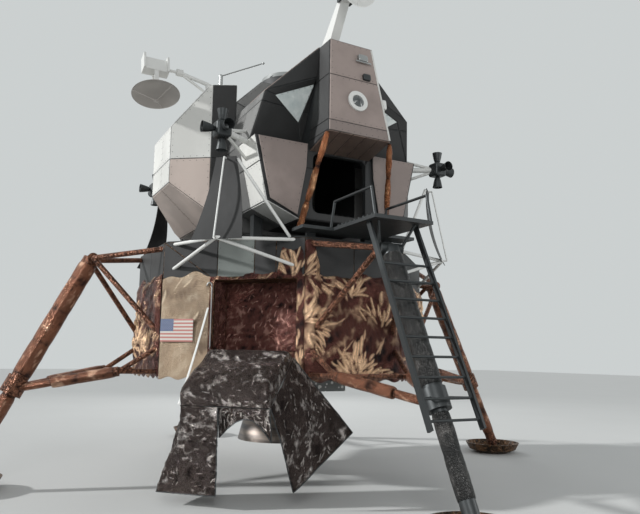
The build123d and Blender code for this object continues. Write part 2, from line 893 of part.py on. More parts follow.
def front_hatch():
    """The square crew hatch, drawn shut, then swung inwards to where the photo shows it."""
    x, y = hatch_axis
    pieces = [Pos(0, -cabin_front + cabin_wall - hatch_thickness, 0) * hatch_block(hatch_thickness, 0)]
    near, far = x + 2 * hatch_barrel_radius, x + 5 * hatch_barrel_radius
    for low in hatch_barrel_heights:
        high = low + hatch_barrel
        pieces.append(tube((x, y, low), (x, y, high), hatch_barrel_radius))
        pieces.append(box((x, y - hatch_barrel_radius, low), (far, y + hatch_pin_radius, high)))
        pieces.append(box((near, y - hatch_axis_back - weld_depth, low), (far, y, high)))
    outer_face = -cabin_front + cabin_wall - hatch_thickness
    middle = (hatch_sill + hatch_head) / 2
    pieces.append(tube((0, outer_face - hatch_valve_depth, middle), (0, outer_face, middle), hatch_valve_radius))
    grip_y = outer_face - hatch_grip_rise
    ends = [(hatch_grip_side, grip_y, middle + side * hatch_grip_half) for side in (-1, 1)]
    pieces.append(tube(*ends, hatch_grip_radius))
    for grip_x, grip_end, grip_z in ends:
        pieces.append(tube((grip_x, grip_end, grip_z), (grip_x, outer_face, grip_z), hatch_grip_radius))
        pieces.append(Pos(grip_x, grip_end, grip_z) * Solid.make_sphere(hatch_grip_radius))
    bore = tube((x, y, hatch_sill), (x, y, hatch_head), hatch_pin_radius + pin_clearance)
    return about(joined(*pieces) - bore, (x, y, 0), (0, 0, 1), hatch_open)


def fairing(side):
    """A tank fairing: the shape seen from the front, cut by the shape seen from above."""
    trim = left_trim if side < 0 else 0

    def placed(x):
        return side * (x if x <= fairing_plan[1][0] else x - trim)

    front = [(placed(x), z) for x, z in fairing_front_view]
    plan = [(placed(x), y) for x, y in fairing_plan]
    body = Part() + front_prism(front, fairing_plan[0][1], fairing_plan[-1][1])
    return body & plan_prism(plan, fairing_front_view[0][1], fairing_front_view[-1][1])


def aft_body():
    """The equipment bay behind the middle section, with its two rear edges cut off."""
    side_view = [
        (mid_back, aft_floor),
        (aft_back - aft_chamfer, aft_floor),
        (aft_back, aft_floor + aft_chamfer),
        (aft_back, aft_roof - aft_chamfer),
        (aft_back - aft_chamfer, aft_roof),
        (mid_back, aft_roof),
    ]
    return side_prism(side_view, aft_half)


def bell(origin, direction):
    """A thruster's bell, open at its mouth, standing on a cluster's block."""
    steps = [0, 0.2, 0.5, 1]
    widening = bell_exit_radius - bell_throat_radius
    curve = [(bell_throat_radius + widening * s**0.6, bell_length * s) for s in steps]
    inside = [(radius - bell_wall, height) for radius, height in reversed(curve[1:])]
    solid = revolved([(0, 0)] + curve + inside + [(0, bell_floor)])
    return Plane(point(origin), z_dir=point(direction)) * solid


def cluster():
    """Four thrusters on one block at the front right: up, down, forwards and sideways."""
    centre = Vector(cluster_offset, -cluster_offset, cluster_height)
    block = Pos(centre.X, centre.Y, centre.Z) * Box(2 * cluster_half, 2 * cluster_half, 2 * cluster_half)
    pieces = [fillet(block.edges(), cluster_round)]
    for direction in ((0, 0, 1), (0, 0, -1), (1, 0, 0), (0, -1, 0)):
        pieces.append(bell(centre + Vector(*direction) * (cluster_half - weld_depth), direction))
    return joined(*pieces)


def rear(shape):
    """The shape's mirror image at the back of the lander."""
    return mirror(shape, about=Plane.XZ)


def clusters():
    front = both(cluster())
    return apart(*front, *[rear(shape) for shape in front])


def booms():
    """A boom and two stays from each cluster to the stage's side."""
    inside = cabin_outline[0][0]
    front_hub = (cluster_offset, -cluster_offset, cluster_height)
    back_hub = (cluster_offset, cluster_offset, cluster_height)
    front = [tube(front_hub, (inside, boom_front_root, cluster_height), boom_radius)]
    back = [tube(back_hub, (inside, cluster_offset, cluster_height), boom_radius)]
    for rise in (-stay_spread, stay_spread):
        front.append(tube(front_hub, (inside, stay_front_root, cluster_height + rise), stay_radius))
        back.append(tube(back_hub, (inside, stay_back_root, cluster_height + rise), stay_radius))
    front_frame = joined(*front) - cluster() - cabin_body()
    back_frame = joined(*back) - rear(cluster()) - aft_body()
    return apart(*both(front_frame), *both(back_frame))


def deflector():
    """One bowed sheet, wider at its foot, reaching out along +X."""
    top = Vector(deflector_top_out, 0, deflector_top_height)
    foot = Vector(deflector_foot_out, 0, deflector_foot_height)
    middle = (top + foot) / 2 - Vector(deflector_bow, 0, 0)
    wall = Vector(deflector_wall, 0, 0)
    outline = [
        ThreePointArc(top, middle, foot),
        Line(foot, foot + wall),
        ThreePointArc(foot + wall, middle + wall, top + wall),
        Line(top + wall, top),
    ]
    sheet = extrude(make_face(outline), amount=deflector_foot_half, dir=(0, 1, 0), both=True)
    near, far = deflector_top_out - 4 * deflector_bow, deflector_foot_out + 4 * deflector_bow
    corners = [
        (near, -deflector_foot_half, deflector_foot_height),
        (near, deflector_foot_half, deflector_foot_height),
        (near, deflector_top_half, deflector_top_height),
        (near, -deflector_top_half, deflector_top_height),
    ]
    return sheet & prism(corners, (far - near, 0, 0))


def deflector_truss():
    """Tubes from the stage's two nearest corners to the foot, and a stay outside the sheet."""
    foot = (deflector_foot_out, 0, deflector_foot_height + deflector_tube)
    top = (deflector_top_out, 0, deflector_top_height - deflector_tube)
    tubes = []
    for side in (-1, 1):
        for drop in (deflector_tube, deflector_low_drop):
            root = (corner_reach - root_inset, side * (corner_half - root_inset), deck_height - drop)
            tubes.append(tube(root, foot, deflector_tube))
    outer_foot = (foot[0] + deflector_stay_out, 0, foot[2])
    outer_top = (top[0] + deflector_stay_out, 0, top[2])
    tubes.append(tube(foot, outer_foot, deflector_stay))
    tubes.append(tube(outer_foot, outer_top, deflector_stay))
    tubes.append(tube(outer_top, top, deflector_stay))
    stage = [turned(stage_body(), 45), turned(deck_body(), 45)]
    return Part() + tubes - deflector() - stage


def at_corners(shape):
    """Four copies, one over each corner face."""
    return apart(*[turned(shape, angle) for angle in (45, 135, 225, 315)])


def ladder():
    """Two rails with their rungs, held off the front strut by brackets, drawn along +X."""
    offset = ladder_standoff / math.cos(strut_lean)
    rise = rung_pitch * math.cos(strut_lean)

    def on_line(height, across):
        return (strut_reach(height) + offset, across, height)

    low, high = point(on_line(first_rung_height - ladder_tail, 0)), point(on_line(porch_top, 0))
    plane = Plane(low, x_dir=Vector(0, 1, 0), z_dir=(high - low).normalized())
    rail = Box(ladder_rail_thickness, ladder_rail_width, (high - low).length, align=(Align.CENTER, Align.CENTER, Align.MIN))
    heights = [first_rung_height + number * rise for number in range(rung_count)]
    pieces = [tube(on_line(height, -ladder_half), on_line(height, ladder_half), rung_radius) for height in heights]
    for side in (-1, 1):
        pieces.append(plane * Pos(side * ladder_half, 0, 0) * rail)
        for height in (heights[1], heights[-2]):
            pieces.append(tube(on_line(height, side * ladder_half), (strut_reach(height), 0, height), rung_radius))
    above = box((0, -far_out, porch_top - porch_thickness), (far_out, far_out, far_out))
    return turned(joined(*pieces) - above - main_strut(), leg_angles["front"])


def porch():
    """The ribbed platform before the hatch, with a handrail on each side."""
    low = porch_top - porch_thickness
    plan = [
        (porch_half, -porch_end),
        (porch_half, -porch_shoulder_front),
        (porch_shoulder_half, -porch_shoulder_front),
        (porch_shoulder_half, -porch_back),
    ]
    pieces = [plan_prism(whole(plan), low, porch_top)]
    for number in range(int((porch_end - porch_shoulder_front) // porch_rib_pitch)):
        y = -porch_end + (number + 0.5) * porch_rib_pitch
        rib_top = porch_top + porch_rib_depth
        pieces.append(box((-porch_half, y, low), (porch_half, y + porch_rib_width, rib_top)))
    for side in (-1, 1):
        foot = side * porch_foot_reach
        deck_edge = -stage_half + 2 * deck_inset
        foot_low = (foot - porch_foot_half, deck_edge, deck_height + deck_plate)
        pieces.append(box(foot_low, (foot + porch_foot_half, -porch_back, porch_top)))
        stay_top = (side * porch_stay_reach, -strut_top_radius - cap_half, low + rail_radius)
        pieces.append(tube(stay_top, (side * cap_half, -strut_top_radius, strut_top_height), rail_radius))
        x = side * (porch_half - rail_radius)
        high = porch_top + rail_rise
        path = [
            (x, -porch_end + rail_radius, low + rail_radius),
            (x, -porch_end + rail_slope, high),
            (x, -porch_shoulder_front, high),
            (x, -porch_shoulder_front + rail_slope, low + rail_radius),
        ]
        pieces += [tube(start, end, rail_radius) for start, end in zip(path, path[1:])]
        pieces += [Pos(*corner) * Solid.make_sphere(rail_radius) for corner in path[1:-1]]
    front = leg_angles["front"]
    return joined(*pieces) - turned(main_strut(), front) - turned(leg_frame(), front)


def radar_base():
    """A leaning post on the cabin's roof, with a bearing head at its top."""
    x, y, z = radar_head
    roof = cabin_outline[-1][1]
    side_view = [
        (-radar_foot_far, roof),
        (-radar_foot_near, roof),
        (y + radar_post_half, z + radar_post_half),
        (y - radar_post_half, z - radar_post_half),
    ]
    line = [(-radar_head_half, y, z), (radar_head_half, y, z)]
    post = side_prism(side_view, radar_head_half)
    return joined(post, tube(*line, radar_head_radius)) - tube(*line, radar_pin_radius + pin_clearance)


def radar_fork():
    """The cross shaft with a cheek at each end, and two bridges that hold the dish's pin."""
    x, y, z = radar_head
    pin_y = y - radar_reach
    front = pin_y - radar_hub_radius / 2
    outer = radar_cheek_outer
    pieces = [tube((-outer, y, z), (outer, y, z), radar_pin_radius)]
    for side in (-1, 1):
        cheek_high = z + radar_bridge_high
        cheek_low = z - radar_bridge_high
        pieces.append(box((side * radar_cheek_inner, front, cheek_low), (side * outer, y + radar_cheek_back, cheek_high)))
        near, far = z + side * radar_bridge_low, z + side * radar_bridge_high
        pieces.append(box((-outer, front, near), (outer, pin_y + radar_cheek_back, far)))
    pin_low, pin_high = (0, pin_y, z - radar_bridge_high), (0, pin_y, z + radar_bridge_high)
    return joined(*pieces, tube(pin_low, pin_high, radar_dish_pin_radius))


def radar_dish():
    """A dish facing -Y on a hub that turns about the fork's upright pin."""
    x, y, z = radar_head
    pin_y = y - radar_reach
    half = radar_bridge_low - 2 * lug_gap
    line = [(0, pin_y, z - half), (0, pin_y, z + half)]
    back = pin_y - radar_dish_offset
    neck = tube((0, pin_y, z), (0, back - dish_wall / 2, z), radar_neck_radius)
    reflector = joined(dish(radar_dish_radius, radar_dish_depth, dish_wall), feed(radar_dish_radius, radar_dish_depth))
    bowl = Plane((0, back, z), z_dir=(0, -1, 0)) * reflector
    pieces = joined(tube(*line, radar_hub_radius), neck, bowl)
    return pieces - tube(*line, radar_dish_pin_radius + pin_clearance)


def antenna_mast():
    """A post on the left fairing, with a braced arm out to the bearing head."""
    x, y, z = steer_head
    shoulder = (mast_x, mast_y, mast_shoulder_height)
    line = [(x - steer_head_half, y, z), (x + steer_head_half, y, z)]
    post = tube((mast_x, mast_y, mast_foot_height), shoulder, mast_radius)
    arm = tube(shoulder, steer_head, mast_arm_radius)
    brace = tube((mast_x, mast_y, mast_brace_height), steer_head, mast_brace_radius)
    mast = joined(tube(*line, steer_head_radius), post, arm, brace)
    return mast - tube(*line, steer_pin_radius + pin_clearance) - fairing(-1)


def antenna_tilted(shape):
    """From hanging straight down to the photo's tip, forwards about the head's axis."""
    return about(shape, steer_head, (1, 0, 0), -steer_tilt)


antenna_x = steer_head[0] - steer_box_reach


def antenna_yoke():
    """The shaft, the electronics box on it, and the fork below that carries the dish."""
    x, y, z = steer_head
    half_length, half_depth, half_height = steer_box_length / 2, steer_box_depth / 2, steer_box_height / 2
    shaft_end = (x + steer_head_half - lug_gap, y, z)
    pieces = [tube((antenna_x, y, z), shaft_end, steer_pin_radius)]
    case_low = (antenna_x - half_length, y - half_depth, z - half_height)
    pieces.append(box(case_low, (antenna_x + half_length, y + half_depth, z + half_height)))
    pivot = z - steer_drop
    for side in (-1, 1):
        near = antenna_x + side * half_length
        bar_high = (near + side * steer_bar_width, y + half_depth, z + half_height + steer_bar_rise)
        pieces.append(box((near, y - half_depth - steer_bar_width, z - half_height), bar_high))
        leg_near, leg_far = y + side * steer_fork_half, y + side * (steer_fork_half + steer_leg_thickness)
        leg_low = (antenna_x - steer_leg_half, leg_near, pivot - steer_leg_half)
        pieces.append(box(leg_low, (antenna_x + steer_leg_half, leg_far, z - half_height)))
    reach = steer_fork_half + steer_leg_thickness
    pin = tube((antenna_x, y - reach, pivot), (antenna_x, y + reach, pivot), steer_dish_pin_radius)
    return antenna_tilted(joined(*pieces, pin))


def antenna_dish():
    """A dish that opens downwards, on a hub between the fork's legs."""
    y, z = steer_head[1], steer_head[2] - steer_drop
    half = steer_fork_half - 2 * lug_gap
    line = [(antenna_x, y - half, z), (antenna_x, y + half, z)]
    back = z - steer_dish_offset
    neck = tube((antenna_x, y, z), (antenna_x, y, back - dish_wall / 2), steer_neck_radius)
    reflector = joined(dish(steer_dish_radius, steer_dish_depth, dish_wall), feed(steer_dish_radius, steer_dish_depth))
    bowl = Plane((antenna_x, y, back), z_dir=(0, 0, -1)) * reflector
    pieces = joined(tube(*line, steer_leg_half), neck, bowl)
    return antenna_tilted(pieces - tube(*line, steer_dish_pin_radius + pin_clearance))


def rod_aerials():
    """Two leaning rods on short posts, and an upright post with a cone and a disc on top."""
    roof = mid_outline[2][1]
    rod = joined(
        tube(rod_foot, rod_post, rod_post_radius),
        Pos(*rod_post) * Solid.make_sphere(rod_post_radius),
        tube(rod_post, rod_tip, rod_radius),
        Pos(*rod_tip) * Solid.make_sphere(2 * rod_radius),
    )
    rod -= fairing(-1)
    other = rear(mirror(rod, about=Plane.YZ)) - fairing(1)
    cone_foot = disc_post_top - disc_cone_height
    profile = [
        (0, roof),
        (rod_post_radius, roof),
        (rod_radius, roof + disc_cone_height),
        (rod_radius, cone_foot),
        (disc_cone_foot_radius, cone_foot),
        (rod_radius, disc_post_top),
        (rod_radius, disc_post_top + disc_thickness),
        (disc_radius, disc_post_top + disc_thickness),
        (disc_radius, disc_post_top + 2 * disc_thickness),
        (0, disc_post_top + 2 * disc_thickness),
    ]
    return apart(rod, other, Pos(*disc_place, 0) * revolved(profile))


def tracking_light():
    """The round lamp in its ring on the nose's leaning front."""
    slope = (nose_front - nose_top_front) / (nose_top - nose_kink)
    outward = Vector(0, -1, slope).normalized()
    seat = Vector(0, -nose_front + (light_height - nose_kink) * slope, light_height)
    ring = Part() + tube(seat, seat + outward * light_ring_depth, light_ring_radius)
    return ring - tube(seat + outward * light_ring_depth / 2, seat + outward * light_ring_depth, light_radius)


def landing_radar():
    """A shallow box under the stage, behind the front leg."""
    top = belly_height - shield_thickness
    return box((*radar_box_low, top - radar_box_depth), (*radar_box_high, top))


def lander():
    """All nodes, by name."""
    nodes = {}
    for name, angle in leg_angles.items():
        nodes[f"footpad_{name}"] = turned(footpad(), angle)
        nodes[f"main_strut_{name}"] = turned(main_strut(), angle)
        nodes[f"side_braces_{name}"] = turned(side_braces(), angle)
        nodes[f"leg_frame_{name}"] = turned(leg_frame(), angle)
    nodes["descent_stage"] = descent_stage()
    nodes["deck"] = deck()
    nodes["heat_shield"] = heat_shield()
    nodes["landing_radar"] = landing_radar()
    nodes["engine_mounts"] = engine_mounts()
    nodes["gimbal_ring"] = gimbal_ring()
    nodes["descent_engine"] = descent_engine()
    nodes["pallet_frame"] = pallet_frame()
    nodes["pallet_packs"] = pallet_packs()
    nodes["pallet_blanket"] = pallet_blanket()
    nodes["deflectors"] = at_corners(deflector())
    nodes["deflector_trusses"] = at_corners(deflector_truss())
    nodes["ladder"] = ladder()
    nodes["porch"] = porch()
    nodes["cabin"] = cabin()
    nodes["windows"] = windows()
    nodes["nose"] = nose()
    nodes["cheeks"] = cheeks()
    nodes["front_hatch"] = front_hatch()
    nodes["midsection"] = midsection()
    nodes["ascent_engine"] = ascent_engine()
    nodes["roof_hatch"] = roof_hatch()
    nodes["roof_hatch_hanger"] = roof_hatch_hanger()
    nodes["docking_ring"] = docking_ring()
    nodes["fairing_left"] = fairing(-1)
    nodes["fairing_right"] = fairing(1)
    nodes["aft_bay"] = aft_body()
    nodes["thruster_clusters"] = clusters()
    nodes["thruster_booms"] = booms()
    nodes["tracking_light"] = tracking_light()
    nodes["radar_base"] = radar_base()
    nodes["radar_fork"] = radar_fork()
    nodes["radar_dish"] = radar_dish()
    nodes["antenna_mast"] = antenna_mast()
    nodes["antenna_yoke"] = antenna_yoke()
    nodes["antenna_dish"] = antenna_dish()
    nodes["rod_aerials"] = rod_aerials()
    return nodes


for node_name, shape in lander().items():
    export_step(shape, f"parts/{node_name}.step")
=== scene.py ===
import math

import bmesh
import bpy
import numpy as np
from mathutils import Matrix, Vector
from mathutils.bvhtree import BVHTree


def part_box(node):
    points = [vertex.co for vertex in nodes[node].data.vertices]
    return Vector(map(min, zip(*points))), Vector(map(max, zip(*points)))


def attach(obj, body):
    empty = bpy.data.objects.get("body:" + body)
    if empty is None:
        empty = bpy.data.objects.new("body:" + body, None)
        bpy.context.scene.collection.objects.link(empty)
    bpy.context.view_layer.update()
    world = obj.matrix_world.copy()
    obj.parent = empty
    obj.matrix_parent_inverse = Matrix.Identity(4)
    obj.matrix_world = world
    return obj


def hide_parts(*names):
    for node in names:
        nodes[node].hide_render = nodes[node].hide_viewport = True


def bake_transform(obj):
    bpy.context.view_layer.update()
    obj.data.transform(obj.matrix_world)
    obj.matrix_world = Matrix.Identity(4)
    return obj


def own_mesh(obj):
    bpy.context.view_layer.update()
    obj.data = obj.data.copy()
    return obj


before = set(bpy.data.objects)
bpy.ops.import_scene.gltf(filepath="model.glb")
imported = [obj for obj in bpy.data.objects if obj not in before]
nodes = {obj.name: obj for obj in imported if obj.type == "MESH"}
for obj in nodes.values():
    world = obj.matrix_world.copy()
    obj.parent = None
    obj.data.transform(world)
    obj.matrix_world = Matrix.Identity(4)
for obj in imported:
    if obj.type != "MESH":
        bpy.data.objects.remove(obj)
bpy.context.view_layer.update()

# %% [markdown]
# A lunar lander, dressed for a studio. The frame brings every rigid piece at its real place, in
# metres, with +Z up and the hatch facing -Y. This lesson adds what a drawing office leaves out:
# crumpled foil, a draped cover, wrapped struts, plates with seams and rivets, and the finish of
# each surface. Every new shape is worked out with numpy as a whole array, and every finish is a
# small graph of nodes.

LEG_TURNS = {"front": -90, "right": 0, "back": 90, "left": 180}
STAGE_HALF = 2.090
LEG_FACE_HALF = 0.700
CORNER_REACH = (STAGE_HALF + LEG_FACE_HALF) / math.sqrt(2)
CORNER_HALF = (STAGE_HALF - LEG_FACE_HALF) / math.sqrt(2)
DIAGONAL = math.sqrt(0.5)
STAGE_FLOOR, FOIL_TOP = 1.400, 2.700

# %% [markdown]
# Surfaces come first. A surface here is an array of points, one row after another, and its faces
# are the quads between neighbouring rows and columns. Writing whole arrays into the mesh with
# foreach_set is much faster than adding points one by one, and it keeps each formula in one line.


# %% From an array of points to a piece
def surface(name, points, wrap=False, keep=None, flip=False):
    """A mesh from points[row, column, xyz]. wrap closes each row into a ring, keep is an array of
    True for the quads that stay, and flip turns the faces over."""
    rows, columns = points.shape[:2]
    number = np.arange(rows * columns).reshape(rows, columns)
    if wrap:
        number = np.concatenate([number, number[:, :1]], axis=1)
    quads = np.stack([number[:-1, :-1], number[:-1, 1:], number[1:, 1:], number[1:, :-1]], axis=-1)
    if keep is not None:
        quads = quads[keep]
    quads = quads.reshape(-1, 4)
    if flip:
        quads = quads[:, ::-1]
    return mesh_piece(name, points.reshape(-1, 3), quads)


def mesh_piece(name, points, faces):
    """A smooth piece from an array of points and an array of faces with equally many corners."""
    mesh = bpy.data.meshes.new(name)
    count, corners = faces.shape
    mesh.vertices.add(len(points))
    mesh.vertices.foreach_set("co", np.asarray(points, np.float32).ravel())
    mesh.loops.add(count * corners)
    mesh.loops.foreach_set("vertex_index", faces.astype(np.int32).ravel())
    mesh.polygons.add(count)
    mesh.polygons.foreach_set("loop_start", np.arange(0, count * corners, corners, dtype=np.int32))
    mesh.polygons.foreach_set("use_smooth", np.full(count, True))
    mesh.update(calc_edges=True)
    mesh.validate()
    return shown(name, mesh)


# %% Small helpers for every piece
def shown(name, data):
    """An object in the scene that shows a mesh, a lamp or a camera."""
    made = bpy.data.objects.new(name, data)
    bpy.context.scene.collection.objects.link(made)
    return made


def give(piece, body, finish):
    """Hands a piece to a body, with its finish."""
    piece.data.materials.append(finish)
    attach(piece, body)
    return piece


def mark(piece, name, values):
    """Keeps one number for each point of the piece, for its finish to read."""
    attribute = piece.data.attributes.new(name, "FLOAT", "POINT")
    attribute.data.foreach_set("value", np.asarray(values, np.float32).ravel())


def thicken(piece, thickness, offset):
    """A thickness for a sheet: offset -1 puts it all behind the faces, and 0 on both sides."""
    modifier = piece.modifiers.new("thickness", "SOLIDIFY")
    modifier.thickness, modifier.offset = thickness, offset


def numbers(place):
    """A place as three plain numbers."""
    return tuple(float(value) for value in place)


def pushed(points, amount):
    """Each point moved along the sheet's own normal, n = dP/dcolumn x dP/drow, by its amount."""
    normal = np.cross(np.gradient(points, axis=1), np.gradient(points, axis=0))
    normal /= np.maximum(np.linalg.norm(normal, axis=-1, keepdims=True), 1e-9)
    return points + normal * amount[..., None]


# %% [markdown]
# Crumpled foil is flat facets that meet in sharp folds. A cheap formula for it: scatter seeds over
# the sheet, give each a slightly different height, and let the foil at a point be the lowest of
# the bowls that stand on the seeds. Where two bowls meet, there is a crease, as in real foil.
# Stretching the sheet before the bowls are placed makes the folds long, as where foil is pulled.
# A simulation could crumple a sheet too, but a formula takes a fraction of a second for each, and
# gives the same folds every time.


# %% The crumple formula
def crumple(u, v, size, seed, stretch=1.0, turn=0.0):
    """Height from 0 to 1 over the points (u, v). It is min over seeds s of |p - s|^2 + c_s, with p
    the point turned by an angle and squeezed by stretch, as a share of size squared; the square
    root makes the bowls' sides straight, so that their rims are sharp folds."""
    rng = np.random.default_rng(seed)
    c, s = math.cos(turn), math.sin(turn)
    a = (u * c + v * s) / (size * stretch)
    b = (v * c - u * s) / size
    a = a + 0.35 * np.sin(1.3 * b + seed)
    b = b + 0.35 * np.sin(1.1 * a + 2 * seed)
    low_a, low_b = math.floor(a.min()) - 1, math.floor(b.min()) - 1
    cells_a, cells_b = math.ceil(a.max()) - low_a + 2, math.ceil(b.max()) - low_b + 2
    seeds = rng.random((cells_a, cells_b, 3))
    cell_a, cell_b = np.floor(a).astype(int) - low_a, np.floor(b).astype(int) - low_b
    height = np.full(a.shape, 9.0)
    for step_a in (-1, 0, 1):
        for step_b in (-1, 0, 1):
            ia = np.clip(cell_a + step_a, 0, cells_a - 1)
            ib = np.clip(cell_b + step_b, 0, cells_b - 1)
            seed_a, seed_b, lift = seeds[ia, ib, 0], seeds[ia, ib, 1], seeds[ia, ib, 2]
            away = (a - (ia + low_a + seed_a)) ** 2 + (b - (ib + low_b + seed_b)) ** 2
            height = np.minimum(height, away + 0.5 * lift)
    return np.clip(np.sqrt(height) / 1.1, 0, 1)


def folds(u, v, seed, size=0.16, stretch=2.4, turn=0.6):
    """Large folds, with smaller ones turned across them: 0.65 of the first and 0.35 of the second."""
    large = crumple(u, v, size, seed, stretch, turn)
    small = crumple(u, v, size * 0.42, seed + 50, stretch * 0.8, turn + 0.9)
    return 0.65 * large + 0.35 * small


# %% [markdown]
# Over the crumples lie long thin folds, like leaves, that catch the light from end to end. Each is
# a small hill with straight sides, (1 - p^2)(1 - |q|), where p runs along the leaf and q across it.
# Their colour also holds a painted highlight, full on the upper side and dimmer on the lower.
# They could be colour alone, but as real height they also turn the light and roughen the outline.


# %% Leaf-shaped folds
# The share of its highlight that a leaf's lower side keeps: painted shade on the side away from the light.
SHADED_SIDE = 0.35


def leaf_at(u, v, place, angle, length, width, bend):
    """One leaf's height, and its shine, a painted highlight: full on its upper side, less on its lower."""
    c, s = math.cos(angle), math.sin(angle)
    p = ((u - place[0]) * c + (v - place[1]) * s) / (0.5 * length)
    q = ((v - place[1]) * c - (u - place[0]) * s) / (0.5 * width) + bend * p**2
    hill = np.clip(1 - p**2, 0, 1) * np.clip(1 - np.abs(q), 0, 1)
    return hill, hill * np.where(q * c > 0, 1.0, SHADED_SIDE)


def leaves(u, v, count, seed, turn=0.9, spread=0.55, length=(0.13, 0.30), width=(0.042, 0.078), fans=()):
    """The highest leaf at each point, from 0 to 1, and its shine, a painted highlight. Some leaves are
    scattered, and the others stand in fans: each fan is (u, v, first angle, last angle, reach, count),
    with its angles in degrees, and its leaves point away from its own place."""
    rng = np.random.default_rng(seed)
    planned = []
    for number in range(count):
        place = (rng.uniform(u.min(), u.max()), rng.uniform(v.min(), v.max()))
        planned.append((place, turn + spread * rng.standard_normal(), rng.uniform(0.30, 0.60)))
    for from_u, from_v, first, last, reach, members in fans:
        for number in range(members):
            angle = math.radians(first + (last - first) * (number + rng.uniform(-0.4, 0.4)) / members)
            away = reach * rng.uniform(0.35, 1.0)
            place = (from_u + away * math.cos(angle), from_v + away * math.sin(angle))
            planned.append((place, angle + rng.uniform(-0.25, 0.25), rng.uniform(0.65, 1.0)))
    ridge, shine = np.zeros(u.shape), np.zeros(u.shape)
    for place, angle, strength in planned:
        sizes = (rng.uniform(*length), rng.uniform(*width), rng.uniform(-0.7, 0.7))
        hill, lit = leaf_at(u, v, place, angle, *sizes)
        ridge, shine = np.maximum(ridge, hill * strength), np.maximum(shine, lit * strength)
    return ridge, shine


# %% [markdown]
# A finish is a graph of nodes. Written as a program, node graphs are long and hard to read, so a
# small class wraps one socket and lets ordinary sums and products add the Math nodes. Anything
# that isn't a sum comes from one method that takes the node's type, its settings and its inputs.


# %% Shader maths as plain expressions
class Value:
    """One number or colour that flows through the graph of a finish."""

    def __init__(self, recipe, socket):
        self.recipe, self.socket = recipe, socket

    def calculate(self, operation, *inputs):
        """A Math node on the given values, by the name of its operation."""
        return self.recipe.node("ShaderNodeMath", {"operation": operation}, dict(enumerate(inputs)))

    def __add__(self, other):
        return self.calculate("ADD", self, other)

    def __sub__(self, other):
        return self.calculate("SUBTRACT", self, other)

    def __rsub__(self, other):
        return self.calculate("SUBTRACT", other, self)

    def __mul__(self, other):
        return self.calculate("MULTIPLY", self, other)

    __radd__, __rmul__ = __add__, __mul__

    def sine(self):
        """The sine of the value, taken in radians."""
        return self.calculate("SINE", self)


# %% A finish under construction
class Recipe:
    """A finish under construction: a Principled shader and the nodes that feed it."""

    def __init__(self, name, **fixed):
        self.material = bpy.data.materials.new(name)
        self.material.use_nodes = True
        self.tree = self.material.node_tree
        self.shader = next(n for n in self.tree.nodes if n.type == "BSDF_PRINCIPLED")
        for socket, value in fixed.items():
            self.shader.inputs[socket.replace("_", " ")].default_value = value
        self.place = self.node("ShaderNodeTexCoord", output="Object")

    def node(self, kind, settings=None, inputs=None, output=0):
        """Any node: its type, its settings, which are set first, and what feeds its sockets."""
        made = self.tree.nodes.new(kind)
        for key, setting in (settings or {}).items():
            setattr(made, key, setting)
        for key, value in (inputs or {}).items():
            self.feed(made.inputs[key], value)
        return Value(self, made.outputs[output])

    def feed(self, socket, value):
        """Links a value into a socket, or writes a number or a colour there."""
        if isinstance(value, Value):
            self.tree.links.new(value.socket, socket)
        elif isinstance(value, tuple) and socket.type == "RGBA":
            socket.default_value = (*value, 1.0)[:4]
        else:
            socket.default_value = value

    def noise(self, scale, detail=4.0, rough=0.6, place=None, warp=0.0):
        """Clouds from 0 to 1, about 1 / scale metres across."""
        inputs = {"Vector": place or self.place, "Scale": scale, "Detail": detail, "Roughness": rough}
        inputs["Distortion"] = warp
        return self.node("ShaderNodeTexNoise", None, inputs)

    def cells(self, scale, feature="DISTANCE_TO_EDGE"):
        """Cells about 1 / scale metres across: how far a place is from its cell's edge, or its seed."""
        inputs = {"Vector": self.place, "Scale": scale}
        return self.node("ShaderNodeTexVoronoi", {"feature": feature}, inputs)

    def squeezed(self, x, y, z):
        """The place, with each axis multiplied by its own number."""
        return self.node("ShaderNodeMapping", None, {"Vector": self.place, "Scale": (x, y, z)})

    def step(self, value, low, high):
        """0 below low, 1 above high, and smooth between them."""
        inputs = {"Value": value, "From Min": low, "From Max": high}
        return self.node("ShaderNodeMapRange", {"interpolation_type": "SMOOTHSTEP"}, inputs)

    def mix(self, share, first, second):
        """The first colour at share 0 and the second at share 1."""
        made = self.tree.nodes.new("ShaderNodeMix")
        made.data_type = "RGBA"
        for socket, value in ((made.inputs[0], share), (made.inputs[6], first), (made.inputs[7], second)):
            self.feed(socket, value)
        return Value(self, made.outputs[2])

    def attribute(self, name):
        """The number that mark() kept on the points."""
        return self.node("ShaderNodeAttribute", {"attribute_name": name}, None, "Fac")

    def bump(self, height, distance, strength=1.0):
        """A normal that leans as if the surface rose by distance where height is 1."""
        inputs = {"Height": height, "Distance": distance, "Strength": strength}
        return self.node("ShaderNodeBump", None, inputs)

    def done(self, **inputs):
        """Feeds the shader's own sockets, with _ for a space, and gives the finished material."""
        for name, value in inputs.items():
            self.feed(self.shader.inputs[name.replace("_", " ")], value)
        return self.material
